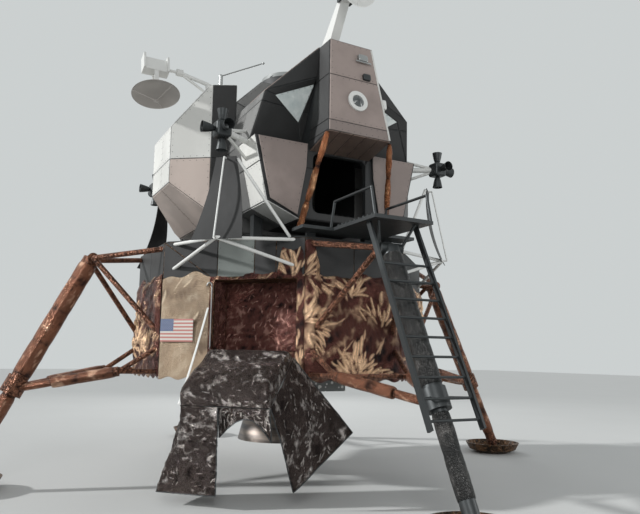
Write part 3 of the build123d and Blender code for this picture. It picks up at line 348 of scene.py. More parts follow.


# %% [markdown]
# The foil is a plastic film with metal behind it. On the front it is amber. Its colour also holds
# painted light: pale painted highlights on the fold rims and the leaves, and nearly black painted
# shade in the gaps. The heights that made the folds are kept on the points, so the colour knows
# where a fold is. A noise node by itself would be easier, but its patches wouldn't fall on the folds.


# %% Foil finishes
def foil(name, shadow, middle, flash, roughness=0.30, metallic=0.70, rims=0.35, relief=0.018):
    """By the kept fold: painted shade in the gaps, middle on the facets, painted highlight on rims and
    leaves.
    """
    made = Recipe(name, Metallic=metallic)
    fold = made.attribute("fold") + 0.20 * (made.noise(9.0, 5.0) - 0.5)
    leaf = made.attribute("leaf")
    wide = made.noise(1.7, 3.0)
    tint = made.mix(made.step(wide, 0.35, 0.65), middle, tuple(0.60 * channel for channel in middle))
    # Low in the kept fold, in the gaps, the colour goes to shadow: painted shade in the creases.
    body = made.mix(made.step(fold, 0.26, 0.56), shadow, tint)
    # High on the fold rims, by the share rims, it goes to flash: painted highlights.
    lit = made.mix(made.step(fold + 0.25 * (wide - 0.5), 0.62, 0.86) * rims, body, flash)
    # On the leaves, by their kept shine, it goes from warm towards flash: painted highlights.
    warm = tuple(0.5 * (bright + dull) for bright, dull in zip(flash, middle))
    bright = made.mix(made.step(leaf, 0.22, 0.70), warm, flash)
    crease = made.noise(34.0, 7.0, 0.7, warp=1.4)
    return made.done(
        Base_Color=made.mix(made.step(leaf, 0.04, 0.24), lit, bright),
        Roughness=made.step(wide, 0.2, 0.9) * 0.2 + (roughness - 0.1),
        Normal=made.bump(crease + made.step(made.cells(38.0), 0.0, 0.12) * 0.4, relief, 0.9),
    )


def plain_foil(name, dark, light, scale=7.0):
    """Foil for a rigid piece, whose folds are all in the shader: clouds, and creases between cells."""
    made = Recipe(name, Metallic=0.7)
    warped = made.noise(scale, 5.0, 0.65, warp=1.6)
    share = made.step(warped, 0.35, 0.68)
    return made.done(
        Base_Color=made.mix(share, dark, light),
        Roughness=0.28 + 0.25 * warped,
        Normal=made.bump(warped + 0.6 * made.step(made.cells(scale * 1.6), 0.0, 0.2), 0.03, 0.9),
    )


# %% The colours of the foils
# In each foil, shadow is painted shade for the gaps, and flash a painted highlight for rims and leaves.
gold_foil = foil("gold_foil", (0.011, 0.005, 0.006), (0.125, 0.042, 0.031), (0.980, 0.680, 0.430))
amber_foil = foil("amber_foil", (0.016, 0.006, 0.006), (0.190, 0.072, 0.058), (0.780, 0.470, 0.380))
strip_foil = foil("strip_foil", (0.030, 0.010, 0.006), (0.330, 0.120, 0.050), (0.900, 0.520, 0.280))
flat_foil = foil(
    "flat_foil", (0.190, 0.130, 0.085), (0.460, 0.340, 0.230), (0.760, 0.640, 0.480),
    roughness=0.42, metallic=0.35,
)
silver_foil = foil(
    "silver_foil", (0.014, 0.009, 0.009), (0.098, 0.074, 0.066), (0.860, 0.800, 0.760),
    roughness=0.24, metallic=0.72, rims=0.90, relief=0.045,
)
dark_foil = foil(
    "dark_foil", (0.006, 0.007, 0.007), (0.030, 0.030, 0.029), (0.180, 0.170, 0.160),
    roughness=0.40, metallic=0.40,
)
wrap_foil = foil(
    "wrap_foil", (0.030, 0.012, 0.008), (0.250, 0.105, 0.060), (0.860, 0.560, 0.390),
    roughness=0.34, metallic=0.70, rims=0.6,
)
stage_foil = plain_foil("stage_foil", (0.018, 0.012, 0.008), (0.170, 0.090, 0.045))
copper_foil = plain_foil("copper_foil", (0.045, 0.020, 0.013), (0.330, 0.150, 0.090), 16.0)

# %% [markdown]
# The ascent stage is covered in thin metal plates, held off the cabin by standoffs. They are matt,
# warm grey in front and black beside, with fine scratches, soft stains, and edges that are rubbed
# pale. Each plate keeps a tone of its own, so that neighbours never match exactly. Painted images
# could hold the wear, but patterns made by nodes need no unwrapping and stay sharp from near by.


# %% Panel finishes
def panel(name, color, drift=0.10, roughness=0.55, metallic=0.0, edge=1.5):
    """A colour that drifts slowly and by the plate's own tone, darker in stains. Its edges are worn
    to edge times the colour."""
    made = Recipe(name, Metallic=metallic)
    slow = made.noise(1.3, 4.0, 0.55) + 0.30 * (made.attribute("tone") - 0.5)
    stain = made.step(made.noise(4.5, 6.0, 0.7), 0.55, 0.75)
    scratch = made.noise(90.0, 3.0, 0.6, made.squeezed(1.0, 1.0, 0.06))
    darker = tuple(channel * (1 - 2.2 * drift) for channel in color)
    lighter = tuple(min(channel * (1 + drift), 1.0) for channel in color)
    rubbed = tuple(min(channel * edge, 0.85) for channel in color)
    base = made.mix(made.step(slow, 0.35, 0.65), darker, lighter)
    worn = made.attribute("edge") * made.step(made.noise(11.0), 0.40, 0.60)
    return made.done(
        Base_Color=made.mix(worn, made.mix(stain * 0.25, base, darker), rubbed),
        Roughness=roughness - 0.08 + 0.16 * scratch,
        Normal=made.bump(scratch * 0.4 + made.noise(3.0, 2.0) * 6.0, 0.0016, 0.6),
    )


# %% The colours of the panels
grey_panel = panel("grey_panel", (0.262, 0.212, 0.192))
brow_panel = panel("brow_panel", (0.228, 0.178, 0.158))
dish_panel = panel("dish_panel", (0.400, 0.370, 0.345), 0.08, 0.40)
# A pale copy of the grey for faces turned to the sun on the left: painted sunlight.
sunlit_pale_panel = panel("sunlit_pale_panel", (0.610, 0.610, 0.580), 0.06)
pink_panel = panel("pink_panel", (0.430, 0.360, 0.320), 0.08)
black_panel = panel("black_panel", (0.015, 0.015, 0.015), 0.16, 0.55, 0.0, 3.5)
bare_panel = panel("bare_panel", (0.125, 0.140, 0.130), 0.10, 0.45)
side_panel = panel("side_panel", (0.170, 0.170, 0.165), 0.12, 0.50)
chin_panel = panel("chin_panel", (0.150, 0.105, 0.085), 0.14, 0.45, 0.2, 2.0)
white_paint = panel("white_paint", (0.700, 0.705, 0.680), 0.05, 0.45, 0.0, 1.1)
bare_metal = panel("bare_metal", (0.420, 0.430, 0.425), 0.08, 0.34, 0.85)
dark_metal = panel("dark_metal", (0.060, 0.066, 0.068), 0.15, 0.42, 0.55)
seam_metal = panel("seam_metal", (0.016, 0.018, 0.019), 0.10, 0.60)


# %% Glass, the bells and the spotted box
def window_finish():
    """Frosted glass as the photograph shows it: pale and cloudy."""
    made = Recipe("window_pane", IOR=1.5)
    cloud = made.noise(3.2, 4.0)
    color = made.mix(made.step(cloud, 0.3, 0.7), (0.46, 0.53, 0.53), (0.68, 0.72, 0.70))
    return made.done(Base_Color=color, Roughness=0.16 + 0.2 * cloud, Coat_Weight=0.4)


def bell_finish():
    """Heat-stained metal: bands of dark grey and brown that run round the bell, by height."""
    made = Recipe("bell_metal", Metallic=0.85)
    band = made.noise(2.2, 4.0, 0.6, made.squeezed(0.3, 0.3, 3.0))
    color = made.mix(made.step(band, 0.35, 0.65), (0.085, 0.080, 0.080), (0.26, 0.22, 0.19))
    grain = made.bump(made.noise(60.0), 0.002, 0.4)
    return made.done(Base_Color=color, Roughness=0.32 + 0.2 * band, Normal=grain)


def spotted_finish():
    """Grey metal under round white spots of thermal paint, a few centimetres apart."""
    made = Recipe("spotted_box", Metallic=0.1)
    spot = 1.0 - made.step(made.cells(16.0, "F1"), 0.26, 0.34)
    grain = made.noise(14.0, 5.0)
    metal = made.mix(grain, (0.120, 0.130, 0.128), (0.220, 0.230, 0.225))
    color = made.mix(spot, metal, (0.760, 0.760, 0.730))
    return made.done(Base_Color=color, Roughness=0.45 + 0.2 * grain, Normal=made.bump(grain, 0.003, 0.4))


window_pane = window_finish()
bell_metal = bell_finish()
spotted_box = spotted_finish()

# %% The finish of each rigid piece
# What lies under the plates is seam_metal, so that the seams between them look dark.
finish_of = {
    "aft_bay": seam_metal, "antenna_dish": dish_panel, "antenna_mast": white_paint,
    "antenna_yoke": white_paint, "ascent_engine": bell_metal, "cabin": seam_metal,
    "cheeks": seam_metal, "deck": dark_metal, "deflector_trusses": white_paint,
    "deflectors": black_panel, "descent_engine": bell_metal, "descent_stage": stage_foil,
    "docking_ring": bare_metal, "engine_mounts": bare_metal, "fairing_left": seam_metal,
    "fairing_right": seam_metal, "front_hatch": white_paint, "gimbal_ring": bare_metal,
    "heat_shield": stage_foil, "ladder": dark_metal, "landing_radar": spotted_box,
    "midsection": seam_metal, "nose": seam_metal, "pallet_blanket": silver_foil,
    "pallet_frame": bare_metal, "pallet_packs": white_paint, "porch": dark_metal,
    "radar_base": white_paint, "radar_dish": white_paint, "radar_fork": dark_metal,
    "rod_aerials": bare_metal, "roof_hatch": white_paint, "roof_hatch_hanger": bare_metal,
    "thruster_booms": white_paint, "thruster_clusters": dark_metal,
    "tracking_light": white_paint, "windows": window_pane,
}
for leg in LEG_TURNS:
    finish_of[f"footpad_{leg}"] = stage_foil
    finish_of[f"main_strut_{leg}"] = dark_metal if leg == "front" else copper_foil
    finish_of[f"side_braces_{leg}"] = copper_foil
    finish_of[f"leg_frame_{leg}"] = copper_foil
for name, obj in nodes.items():
    obj.data.materials.clear()
    obj.data.materials.append(finish_of[name])
print("finishes", len(set(finish_of.values())))

# %% [markdown]
# The camera stands where the photograph was taken from. Its place and its angles were worked out
# from the places of the footpads, the deck and the nose in the photograph. It could be set by
# eye, but with a solved camera a size can be compared with the photograph to a few pixels.

# %% Camera
CAMERA_PLACE = (-4.162, -8.948, 1.695)
CAMERA_YAW, CAMERA_PITCH, CAMERA_ROLL = 28.11, 7.56, 0.83
FOCAL_PIXELS, IMAGE_WIDTH = 630.6, 640
SHIFT_PIXELS = (0.5, 15.0)
SENSOR_WIDTH = 36.0


def aim():
    """Axes of the camera: forward f = (sin y cos p, cos y cos p, sin p), right r = (cos y, -sin y, 0),
    up = r x f, then r and up turned about f by the roll."""
    yaw, pitch, roll = (math.radians(degrees) for degrees in (CAMERA_YAW, CAMERA_PITCH, CAMERA_ROLL))
    forward = Vector((math.sin(yaw) * math.cos(pitch), math.cos(yaw) * math.cos(pitch), math.sin(pitch)))
    level_right = Vector((math.cos(yaw), -math.sin(yaw), 0))
    level_up = level_right.cross(forward)
    right = math.cos(roll) * level_right + math.sin(roll) * level_up
    up = math.cos(roll) * level_up - math.sin(roll) * level_right
    return Matrix((right, up, -forward)).transposed().to_4x4()


camera_data = bpy.data.cameras.new("camera")
camera_data.sensor_width = SENSOR_WIDTH
camera_data.lens = SENSOR_WIDTH * FOCAL_PIXELS / IMAGE_WIDTH
camera_data.shift_x, camera_data.shift_y = (pixels / IMAGE_WIDTH for pixels in SHIFT_PIXELS)
camera_data.clip_end = 200
camera = shown("camera", camera_data)
camera.matrix_world = Matrix.Translation(CAMERA_PLACE) @ aim()
bpy.context.scene.camera = camera
print("camera", CAMERA_PLACE, "lens", round(camera_data.lens, 2), "mm")

# %% [markdown]
# The descent stage wears foil on its eight faces. Each sheet lies over its face, pushed outwards
# by the crumples and the leaves, and taped down at its edges, so the height fades to nothing
# there. The face over the pallet has the recess cut out of it, and a flat field at its left. One
# sheet round all the faces would round the corners off, and tape holds the real ones sharp.


# %% Places on the faces of the stage
RECESS_TURN, HATCH_TURN = 225, 270
RECESS = (-0.230, 0.880, 1.735, 2.635)
RECESS_DEPTH = 0.360
FLAT_FIELD = -0.300
FOIL_STEP = 0.0105


def on_face(turn, reach, across, out, height):
    """Points at a distance out from the face that is turned about the upright axis, reach away
    from it: x = (reach + out) cos t - across sin t, and y = (reach + out) sin t + across cos t."""
    c, s = math.cos(math.radians(turn)), math.sin(math.radians(turn))
    away = reach + out
    return np.stack([away * c - across * s, away * s + across * c, height], -1)


def by_recess(across, out, height):
    """Points by the corner face with the recess, of which any may be one number for all of them."""
    across, out, height = (part + 0.0 for part in np.broadcast_arrays(across, out, height))
    return on_face(RECESS_TURN, CORNER_REACH, across, out, height)


def face_size(turn):
    """Distance from the middle of the stage to a face, and half the face's width."""
    return (CORNER_REACH, CORNER_HALF) if turn % 90 else (STAGE_HALF, LEG_FACE_HALF)


def edge_fade(values, low, high, width):
    """0 at both limits, rising to 1 within a width from them."""
    return np.clip(np.minimum(values - low, high - values) / width, 0, 1) ** 0.5


def foil_edge(turn, across, half):
    """Height of the foil's ragged upper edge. At the corner beside the hatch it climbs to the deck."""
    ragged = 0.035 * np.sin(7.0 * across + turn) + 0.025 * np.sin(17.0 * across + 2 * turn)
    from_corner = {RECESS_TURN: half - across, HATCH_TURN: half + across}.get(turn, 9.0)
    width = {RECESS_TURN: 0.30, HATCH_TURN: 0.13}.get(turn, 0.0)
    return FOIL_TOP + ragged + 0.37 * np.clip((width - from_corner) / 0.07 + 1, 0, 1)


# %% Fans of leaves on the faces
# Each fan: place across, height, first and last angle in degrees, reach in metres, number of leaves.
FANS = {
    HATCH_TURN: [
        (0.00, 1.36, 12, 168, 0.50, 34), (0.00, 1.36, 35, 145, 0.28, 12), (-0.05, 2.44, 15, 165, 0.26, 13),
        (0.40, 1.98, 10, 150, 0.52, 22), (-0.74, 2.10, -70, 75, 0.40, 24), (-0.72, 2.66, -60, 80, 0.36, 16),
    ],
    RECESS_TURN: [
        (0.86, 2.62, 20, 150, 0.38, 15), (0.92, 2.05, 20, 165, 0.45, 18), (0.95, 1.50, 60, 175, 0.40, 14),
    ],
}


def fans_of(turn, half):
    """The photograph shows where the fans of the front faces stand. The others get five each."""
    if turn in FANS:
        return FANS[turn]
    rng = np.random.default_rng(turn + 5)
    middles = rng.uniform((-half, STAGE_FLOOR), (half, FOIL_TOP - 0.3), (5, 2))
    return [(u, v, 10, 170, 0.45, 19) for u, v in middles]


# %% Foil on the descent stage
FOIL_GAP, HELD_GAP, HELD_SHARE = 0.007, 0.004, 0.14


def stage_sheet(turn, left, right, finish, depth, hole=None, seed=0, count=26, fold_turn=0.6):
    """One face's foil between two places across it: out = gap + depth * (0.2 + fold + 0.45 ridge) + a
    slow wave, faded at its edges. Round the hole for the pallet it is held down to 0.14 of that."""
    reach, half = face_size(turn)
    across = np.arange(left, right + FOIL_STEP / 2, FOIL_STEP)
    share = np.linspace(0, 1, int((FOIL_TOP - STAGE_FLOOR) / FOIL_STEP))
    across, share = np.meshgrid(across, share)
    height = STAGE_FLOOR + share * (foil_edge(turn, across, half) - STAGE_FLOOR)
    height = height - 0.018 * (1 - share) ** 8 * (1 + np.sin(23 * across + turn))
    fold = folds(across + turn, height, 11 + seed + turn, 0.15, 2.2, fold_turn)
    fans = () if finish is flat_foil else fans_of(turn, half)
    ridge, shine = leaves(across, height, count, 31 + seed + turn, fold_turn + 0.3, fans=fans)
    fade = edge_fade(across, left, right, 0.09) * edge_fade(share, 0, 1, 0.07)
    wave = 0.012 * np.sin(2.1 * across + turn) * np.sin(2.7 * height + turn)
    out = FOIL_GAP + (depth * (fold + 0.45 * ridge) + wave * depth / 0.06 + 0.2 * depth) * fade
    keep = None
    if hole:
        out = HELD_GAP + HELD_SHARE * (out - HELD_GAP)
        near, far, low, high = hole
        inside = (across > near) & (across < far) & (height > low) & (height < high)
        keep = ~(inside[:-1, :-1] | inside[1:, 1:] | inside[1:, :-1] | inside[:-1, 1:])
    piece = surface(f"stage_foil_{turn}_{seed}", on_face(turn, reach, across, out, height), keep=keep)
    # Kept for the finish: the fold sets painted shade in the gaps, and the shine a painted highlight.
    mark(piece, "fold", fold)
    mark(piece, "leaf", shine)
    return give(piece, "lander", finish)


FOIL_DEPTH = 0.062
for turn in range(0, 360, 45):
    half = face_size(turn)[1]
    if turn != RECESS_TURN:
        stage_sheet(turn, -half, half, gold_foil, FOIL_DEPTH, fold_turn=0.9 - 0.5 * (turn // 45 % 3))
stage_sheet(RECESS_TURN, FLAT_FIELD, CORNER_HALF, gold_foil, FOIL_DEPTH, RECESS, seed=1)
field = stage_sheet(RECESS_TURN, -CORNER_HALF, FLAT_FIELD, flat_foil, 0.008, seed=2, count=6)
print("quads in the flat field", len(field.data.polygons))


# %% [markdown]
# The recess behind the pallet is lined with darker foil. Its back can bulge by 40 mm, because the
# folded pallet stops short of it, but its sides stay within 4 mm of the wall. Each wall is a
# sheet of its own, pushed out along its own normals, so one function lines all three.


# %% Lining of the recess
LINING_STEP, LINING_GAP, BACK_BULGE, SIDE_BULGE = 0.011, 0.002, 0.040, 0.002


def lining(name, points, depth, seed):
    """A crumpled lining on a wall, from an array of its points: it stands off by the gap and by depth
    times 0.6 fold + 0.4 ridge."""
    rows, columns = points.shape[:2]
    v, u = np.meshgrid(np.arange(rows) * LINING_STEP, np.arange(columns) * LINING_STEP, indexing="ij")
    fold = folds(u, v, seed, 0.085, 1.8, 0.3)
    ridge, shine = leaves(u, v, 90, seed + 9, 1.2, 0.7, (0.05, 0.14), (0.018, 0.034))
    fade = edge_fade(u, 0, u.max(), 0.05) * edge_fade(v, 0, v.max(), 0.05)
    piece = surface(name, pushed(points, LINING_GAP + depth * (0.6 * fold + 0.4 * ridge) * fade))
    # Kept for the finish: the fold sets painted shade in the gaps, and the shine a painted highlight.
    mark(piece, "fold", fold)
    mark(piece, "leaf", 0.85 * shine)
    return give(piece, "lander", amber_foil)


near, far, low, high = RECESS
back = CORNER_REACH - RECESS_DEPTH
heights = np.arange(low + 0.004, high, LINING_STEP)
across, height = np.meshgrid(np.arange(near + 0.004, far, LINING_STEP), heights)
lining("recess_back", on_face(RECESS_TURN, back, across, 0, height), BACK_BULGE, 5)
inwards, height = np.meshgrid(np.arange(RECESS_DEPTH - 0.008, 0.004, -LINING_STEP), heights)
out = RECESS_DEPTH - inwards
lining("recess_left", on_face(RECESS_TURN, back, 0 * out + near, out, height)[:, ::-1], SIDE_BULGE, 6)
lining("recess_right", on_face(RECESS_TURN, back, 0 * out + far, out, height), SIDE_BULGE, 7)
print("recess", round(far - near, 3), "m wide and", round(high - low, 3), "m high")

# %% [markdown]
# Plates are cut from the rigid pieces themselves. The mesh of a piece is copied, its triangles are
# merged back into flat faces, and planes cut those faces where real panels meet. Every face that
# can be seen from outside becomes a plate: shrunk a little for the seam, then raised with a bevel.
# The plates could be drawn one by one, but cut from the piece they keep every seam on a real edge,
# and for flat faces with few corners Blender's own cuts and insets are simpler than a grid.


# %% Which faces are seen from outside
def tree_of(names):
    """A tree for finding what a straight line meets among the rigid pieces."""
    points, faces = [], []
    for name in names:
        mesh, base = nodes[name].data, len(points)
        points += [corner.co.copy() for corner in mesh.vertices]
        faces += [[base + index for index in face.vertices] for face in mesh.polygons]
    return BVHTree.FromPolygons(points, faces)


STRUCTURE = [
    "aft_bay", "cabin", "cheeks", "fairing_left", "fairing_right", "midsection", "nose", "radar_base",
    "windows",
]
OWN_REACH, OTHERS_REACH = 2.6, 0.04


def seen_outside(face, own, others):
    """True for a face with nothing of its own piece within 2.6 m in front of it, as across a room, and
    nothing of the other pieces within 40 mm."""
    start = face.calc_center_median() + face.normal * 0.002
    meets_own = own.ray_cast(start, face.normal, OWN_REACH)[0]
    meets_others = others.ray_cast(start, face.normal, OTHERS_REACH)[0]
    return meets_own is None and meets_others is None


# %% Places for rivets
rivet_places = []


def add_rivets(face, inset=0.022, pitch=0.085):
    """Places for rivets along the edges of a plate, a little way in from them."""
    corners = [corner.co.copy() for corner in face.verts]
    centre = face.calc_center_median()
    for start, end in zip(corners, corners[1:] + corners[:1]):
        side = end - start
        if side.length < 2 * pitch:
            continue
        inwards = face.normal.cross(side).normalized()
        if inwards.dot(centre - start) < 0:
            inwards = -inwards
        count = int(side.length / pitch)
        for number in range(1, count):
            rivet_places.append((start + side * number / count + inwards * inset, face.normal.copy()))


# %% Faces cut where the panels meet
def cut_faces(node, cuts):
    """The flat faces of a node, cut by planes, each a point and a normal."""
    sheet = bmesh.new()
    sheet.from_mesh(nodes[node].data)
    bmesh.ops.remove_doubles(sheet, verts=sheet.verts, dist=1e-5)
    bmesh.ops.dissolve_limit(sheet, angle_limit=0.02, verts=sheet.verts, edges=sheet.edges)
    for place, normal in cuts:
        everything = sheet.verts[:] + sheet.edges[:] + sheet.faces[:]
        bmesh.ops.bisect_plane(sheet, geom=everything, plane_co=place, plane_no=normal)
    sheet.normal_update()
    return sheet


def keep_chosen(sheet, node, choose, least):
    """Leaves the faces that get a finish and are seen from outside, and lists their finishes."""
    own, others = tree_of([node]), tree_of([name for name in STRUCTURE if name != node])
    chosen, unwanted = [], []
    for face in sheet.faces:
        finish = choose(face.calc_center_median(), face.normal) if face.calc_area() > least else None
        if finish and seen_outside(face, own, others):
            if finish not in chosen:
                chosen.append(finish)
            face.material_index = chosen.index(finish)
        else:
            unwanted.append(face)
    bmesh.ops.delete(sheet, geom=unwanted, context="FACES")
    return chosen


# %% Plates with seams
PLATE_LIFT = 0.0012


def raise_plates(sheet, gap, rise):
    """Shrinks each face by the seam, raises it with a bevel, and keeps a tone and the worn edge."""
    bmesh.ops.split_edges(sheet, edges=sheet.edges)
    for corner in sheet.verts:
        corner.co += corner.link_faces[0].normal * PLATE_LIFT
    seams = bmesh.ops.inset_individual(sheet, faces=sheet.faces[:], thickness=gap, use_even_offset=True)
    bmesh.ops.delete(sheet, geom=seams["faces"], context="FACES")
    tops = sheet.faces[:]
    bmesh.ops.inset_individual(sheet, faces=tops, thickness=rise * 0.8, depth=rise, use_even_offset=True)
    tone, edge = sheet.verts.layers.float.new("tone"), sheet.verts.layers.float.new("edge")
    rng = np.random.default_rng(len(tops))
    for top in tops:
        value = float(rng.random())
        add_rivets(top)
        inner = set(top.verts)
        ring = {corner for mine in inner for face in mine.link_faces for corner in face.verts}
        for corner in ring:
            corner[tone] = value
            corner[edge] = 0.0 if corner in inner else 1.0


def plates(node, choose, cuts=(), least=0.012, gap=0.005, rise=0.007):
    """Thin plates over the flat faces of a node, one piece for each finish. choose takes a face's
    centre and normal, and gives its finish or None."""
    sheet = cut_faces(node, cuts)
    chosen = keep_chosen(sheet, node, choose, least)
    raise_plates(sheet, gap, rise)
    for number, finish in enumerate(chosen):
        part = sheet.copy()
        strange = [face for face in part.faces if face.material_index != number]
        bmesh.ops.delete(part, geom=strange, context="FACES")
        mesh = bpy.data.meshes.new(f"{node}_{finish.name}_plates")
        part.to_mesh(mesh)
        part.free()
        mesh.polygons.foreach_set("material_index", np.zeros(len(mesh.polygons), np.int32))
        slot = "black_panel" if finish in (black_panel, chin_panel) else "grey_panel"
        give(shown(mesh.name, mesh), "lander", finish)
    sheet.free()


# %% Which finish each plate gets
def upright_cuts(heights):
    """Level planes at the heights where the plates' rows meet."""
    return [((0, 0, height), (0, 0, 1)) for height in heights]


CABIN_JOINT, FAIRING_JOINT = -1.15, 4.420


def midsection_finish(centre, normal):
    """Dark grey all round."""
    return side_panel


def aft_finish(centre, normal):
    """Black all round."""
    return black_panel


def chin_finish(centre, normal):
    """The nose's underside, which the photograph shows in narrow strips."""
    return chin_panel if normal.z < -0.5 else None


def nose_finish(centre, normal):
    """Grey in front and black beside."""
    if chin_finish(centre, normal):
        return None
    return grey_panel if normal.y < -0.6 else black_panel


def cabin_finish(centre, normal):
    """Brown over the windows, black round them, pale low on the left as painted sunlight, and dark grey
    behind.
    """
    if normal.z > 0.3 and centre.y < CABIN_JOINT:
        return brow_panel
    if normal.y < -0.85:
        return black_panel
    # Faces turned left, to the sun, are pale low in front: painted sunlight, as on the fairing.
    if normal.x < -0.3:
        return sunlit_pale_panel if centre.y < CABIN_JOINT and centre.z < 4.5 else side_panel
    return black_panel if normal.y < -0.2 or normal.z < -0.3 else side_panel


def fairing_finish(centre, normal):
    """Grey on the right. On the left, black in front, pale above as painted sunlight, and pinkish below."""
    if centre.x > 0:
        return side_panel if normal.y < -0.3 else grey_panel
    if normal.y < -0.8 and normal.x > -0.3:
        return black_panel
    # Pale above and on faces turned to the sun on the left: painted sunlight.
    return sunlit_pale_panel if centre.z > FAIRING_JOINT or normal.x < -0.9 else pink_panel


def cheek_finish(centre, normal):
    """Grey on the fronts of the two plates beside the hatch."""
    return grey_panel if normal.y < -0.7 else None


# %% Plates on the ascent stage
MIDDLE_CUT = ((0, 0, 0), (1, 0, 0))
plates("nose", nose_finish, upright_cuts([4.685, 5.360]))
plates("nose", chin_finish, [((x, 0, 0), (1, 0, 0)) for x in (-0.300, -0.105, 0.090, 0.285)])
plates("cheeks", cheek_finish)
plates("cabin", cabin_finish, upright_cuts([4.160, 4.980]) + [((0, CABIN_JOINT, 0), (0, 1, 0))])
plates("midsection", midsection_finish, upright_cuts([4.300]) + [((0, 0, 0), (0, 1, 0))])
for side in ("fairing_left", "fairing_right"):
    plates(side, fairing_finish, upright_cuts([FAIRING_JOINT]) + [((0, 0.10, 0), (0, 1, 0))])
plates("aft_bay", aft_finish, upright_cuts([4.300]) + [MIDDLE_CUT])
print("rivets on the ascent stage", len(rivet_places))


# %% [markdown]
# The band above the foil is black plates too, cut from the stage along its deck and between its
# faces. One plate beside the recess is bare grey. The function is the same as above: only the
# cuts and the choice of a finish differ.


# %% The black band of the descent stage
BARE_FROM, BARE_TO = -0.20, 0.31


def band_finish(centre, normal):
    """Plates only on the upright faces above the foil: (x - y) / sqrt 2 is the place across the
    recess's face."""
    if centre.z < FOIL_TOP or abs(normal.z) > 0.2:
        return None
    across = (centre.x - centre.y) * DIAGONAL
    bare = normal.x < -0.5 and normal.y < -0.5 and BARE_FROM < across < BARE_TO
    return bare_panel if bare else black_panel


band_cuts = upright_cuts([FOIL_TOP - 0.03])
band_cuts += [((0, 0, 0), (DIAGONAL, DIAGONAL, 0)), ((0, 0, 0), (0, 1, 0)), MIDDLE_CUT]
for across in (BARE_FROM, BARE_TO, 0.60):
    band_cuts.append(((DIAGONAL * across, -DIAGONAL * across, 0), (DIAGONAL, -DIAGONAL, 0)))
plates("descent_stage", band_finish, band_cuts, least=0.010, gap=0.004, rise=0.006)

# %% [markdown]
# Rivets are low domes with six sides. All of them are one mesh: the same small array of points is
# turned to each place's normal, and the places fill the first axis of the array. An object for
# each rivet would be slow to load, and a bump pattern wouldn't follow the edges of the plates.

# %% Rivets
RIVET_RADIUS, RIVET_RISE, RIVET_SIDES = 0.0055, 0.0028, 6
places = np.array([place for place, normal in rivet_places])
normals = np.array([normal for place, normal in rivet_places])
helper = np.where(np.abs(normals[:, 2:]) > 0.9, (1.0, 0.0, 0.0), (0.0, 0.0, 1.0))
first = np.cross(normals, helper)
first /= np.linalg.norm(first, axis=1, keepdims=True)
second = np.cross(normals, first)
angle = (np.arange(RIVET_SIDES) * 2 * math.pi / RIVET_SIDES)[None, :, None]
rim = np.cos(angle) * first[:, None] + np.sin(angle) * second[:, None]
foot = places[:, None] + RIVET_RADIUS * rim
shoulder = places[:, None] + 0.6 * RIVET_RADIUS * rim + RIVET_RISE * normals[:, None]
head = places[:, None] + 1.25 * RIVET_RISE * normals[:, None]
rivet_points = np.concatenate([foot, shoulder, head], 1)
pattern = []
for low in range(RIVET_SIDES):
    low_next = (low + 1) % RIVET_SIDES
    high, high_next, top = low + RIVET_SIDES, low_next + RIVET_SIDES, 2 * RIVET_SIDES
    pattern += [(low, low_next, high_next), (low, high_next, high), (high, high_next, top)]
starts = rivet_points.shape[1] * np.arange(len(places))[:, None, None]
rivet_faces = (np.array(pattern)[None] + starts).reshape(-1, 3)
rivets = mesh_piece("rivets", rivet_points.reshape(-1, 3), rivet_faces)
give(rivets, "lander", dark_metal)
print("rivets", len(places))

# %% [markdown]
# Rods, hems and struts need a round bar along a line of points, closed at both ends. A curve with
# a bevel would do, but rings of points carried along the path use the surfaces made above.


# %% Round bars
ROD_END = 0.0005
ROD_HELPER = (0.31, 0.17, 0.93)


def rod(name, path, radius, body, finish, columns=14):
    """A round bar along a smooth path: P + radius (cos a n1 + sin a n2), where n1 and n2 stand square
    to the path. At both ends it is drawn in to half a millimetre."""
    path = np.array(path, float)
    ahead = np.gradient(path, axis=0)
    ahead /= np.linalg.norm(ahead, axis=1, keepdims=True)
    first = np.cross(ahead, np.array(ROD_HELPER))
    first /= np.linalg.norm(first, axis=1, keepdims=True)
    second = np.cross(ahead, first)
    angle = np.linspace(0, 2 * math.pi, columns, endpoint=False)[None, :, None]
    path = np.concatenate([path[:1], path, path[-1:]])
    first, second = (np.concatenate([v[:1], v, v[-1:]])[:, None] for v in (first, second))
    size = np.full(len(path), radius)
    size[0] = size[-1] = ROD_END
    points = path[:, None] + size[:, None, None] * (np.cos(angle) * first + np.sin(angle) * second)
    return give(surface(name, points, wrap=True), body, finish)


def line(start, end, count=24):
    """Places from start to end, evenly spaced."""
    share = np.linspace(0, 1, count)[:, None]
    return np.array(start, float) * (1 - share) + np.array(end, float) * share


# %% [markdown]
# The cover over the pallet's packs is one sheet of crinkled insulation. It was cut flat, laid over
# the packs, and falls over the tray's rim. In the tray's own frame, s runs down the slope from the
# hinge, across runs along the hinge, and rise stands off the tray. A cloth simulation would let
# the cover slide off the tilted tray, so a section carried across it gives the form instead.

# %% The pallet's frame
HINGE_OUT, HINGE_HEIGHT = 0.028, 1.690
PALLET_MIDDLE, PALLET_HALF = 0.325, 0.540
TILT = math.radians(38)


def tray_place(s, across, rise):
    """From the tilted tray's axes to the scene's, across being from the tray's middle."""
    out = HINGE_OUT + s * math.cos(TILT) + rise * math.sin(TILT)
    height = HINGE_HEIGHT - s * math.sin(TILT) + rise * math.cos(TILT)
    return by_recess(PALLET_MIDDLE + across, out, height)


TRAY_NORMAL = numbers(tray_place(0.0, 0.0, 1.0) - tray_place(0.0, 0.0, 0.0))
HINGE_PLACE = numbers(tray_place(0.0, 0.0, 0.0))
print("pallet's hinge", [round(value, 3) for value in HINGE_PLACE])


# %% A sheet on the pallet
def border(points):
    """The edge of a sheet, as a line of points: its last column down, its first row, its first
    column up."""
    return np.concatenate([points[::-1, -1], points[0, ::-1][1:], points[1:, 0]])


CLOTH_THICKNESS, HEM_RADIUS = 0.004, 0.006


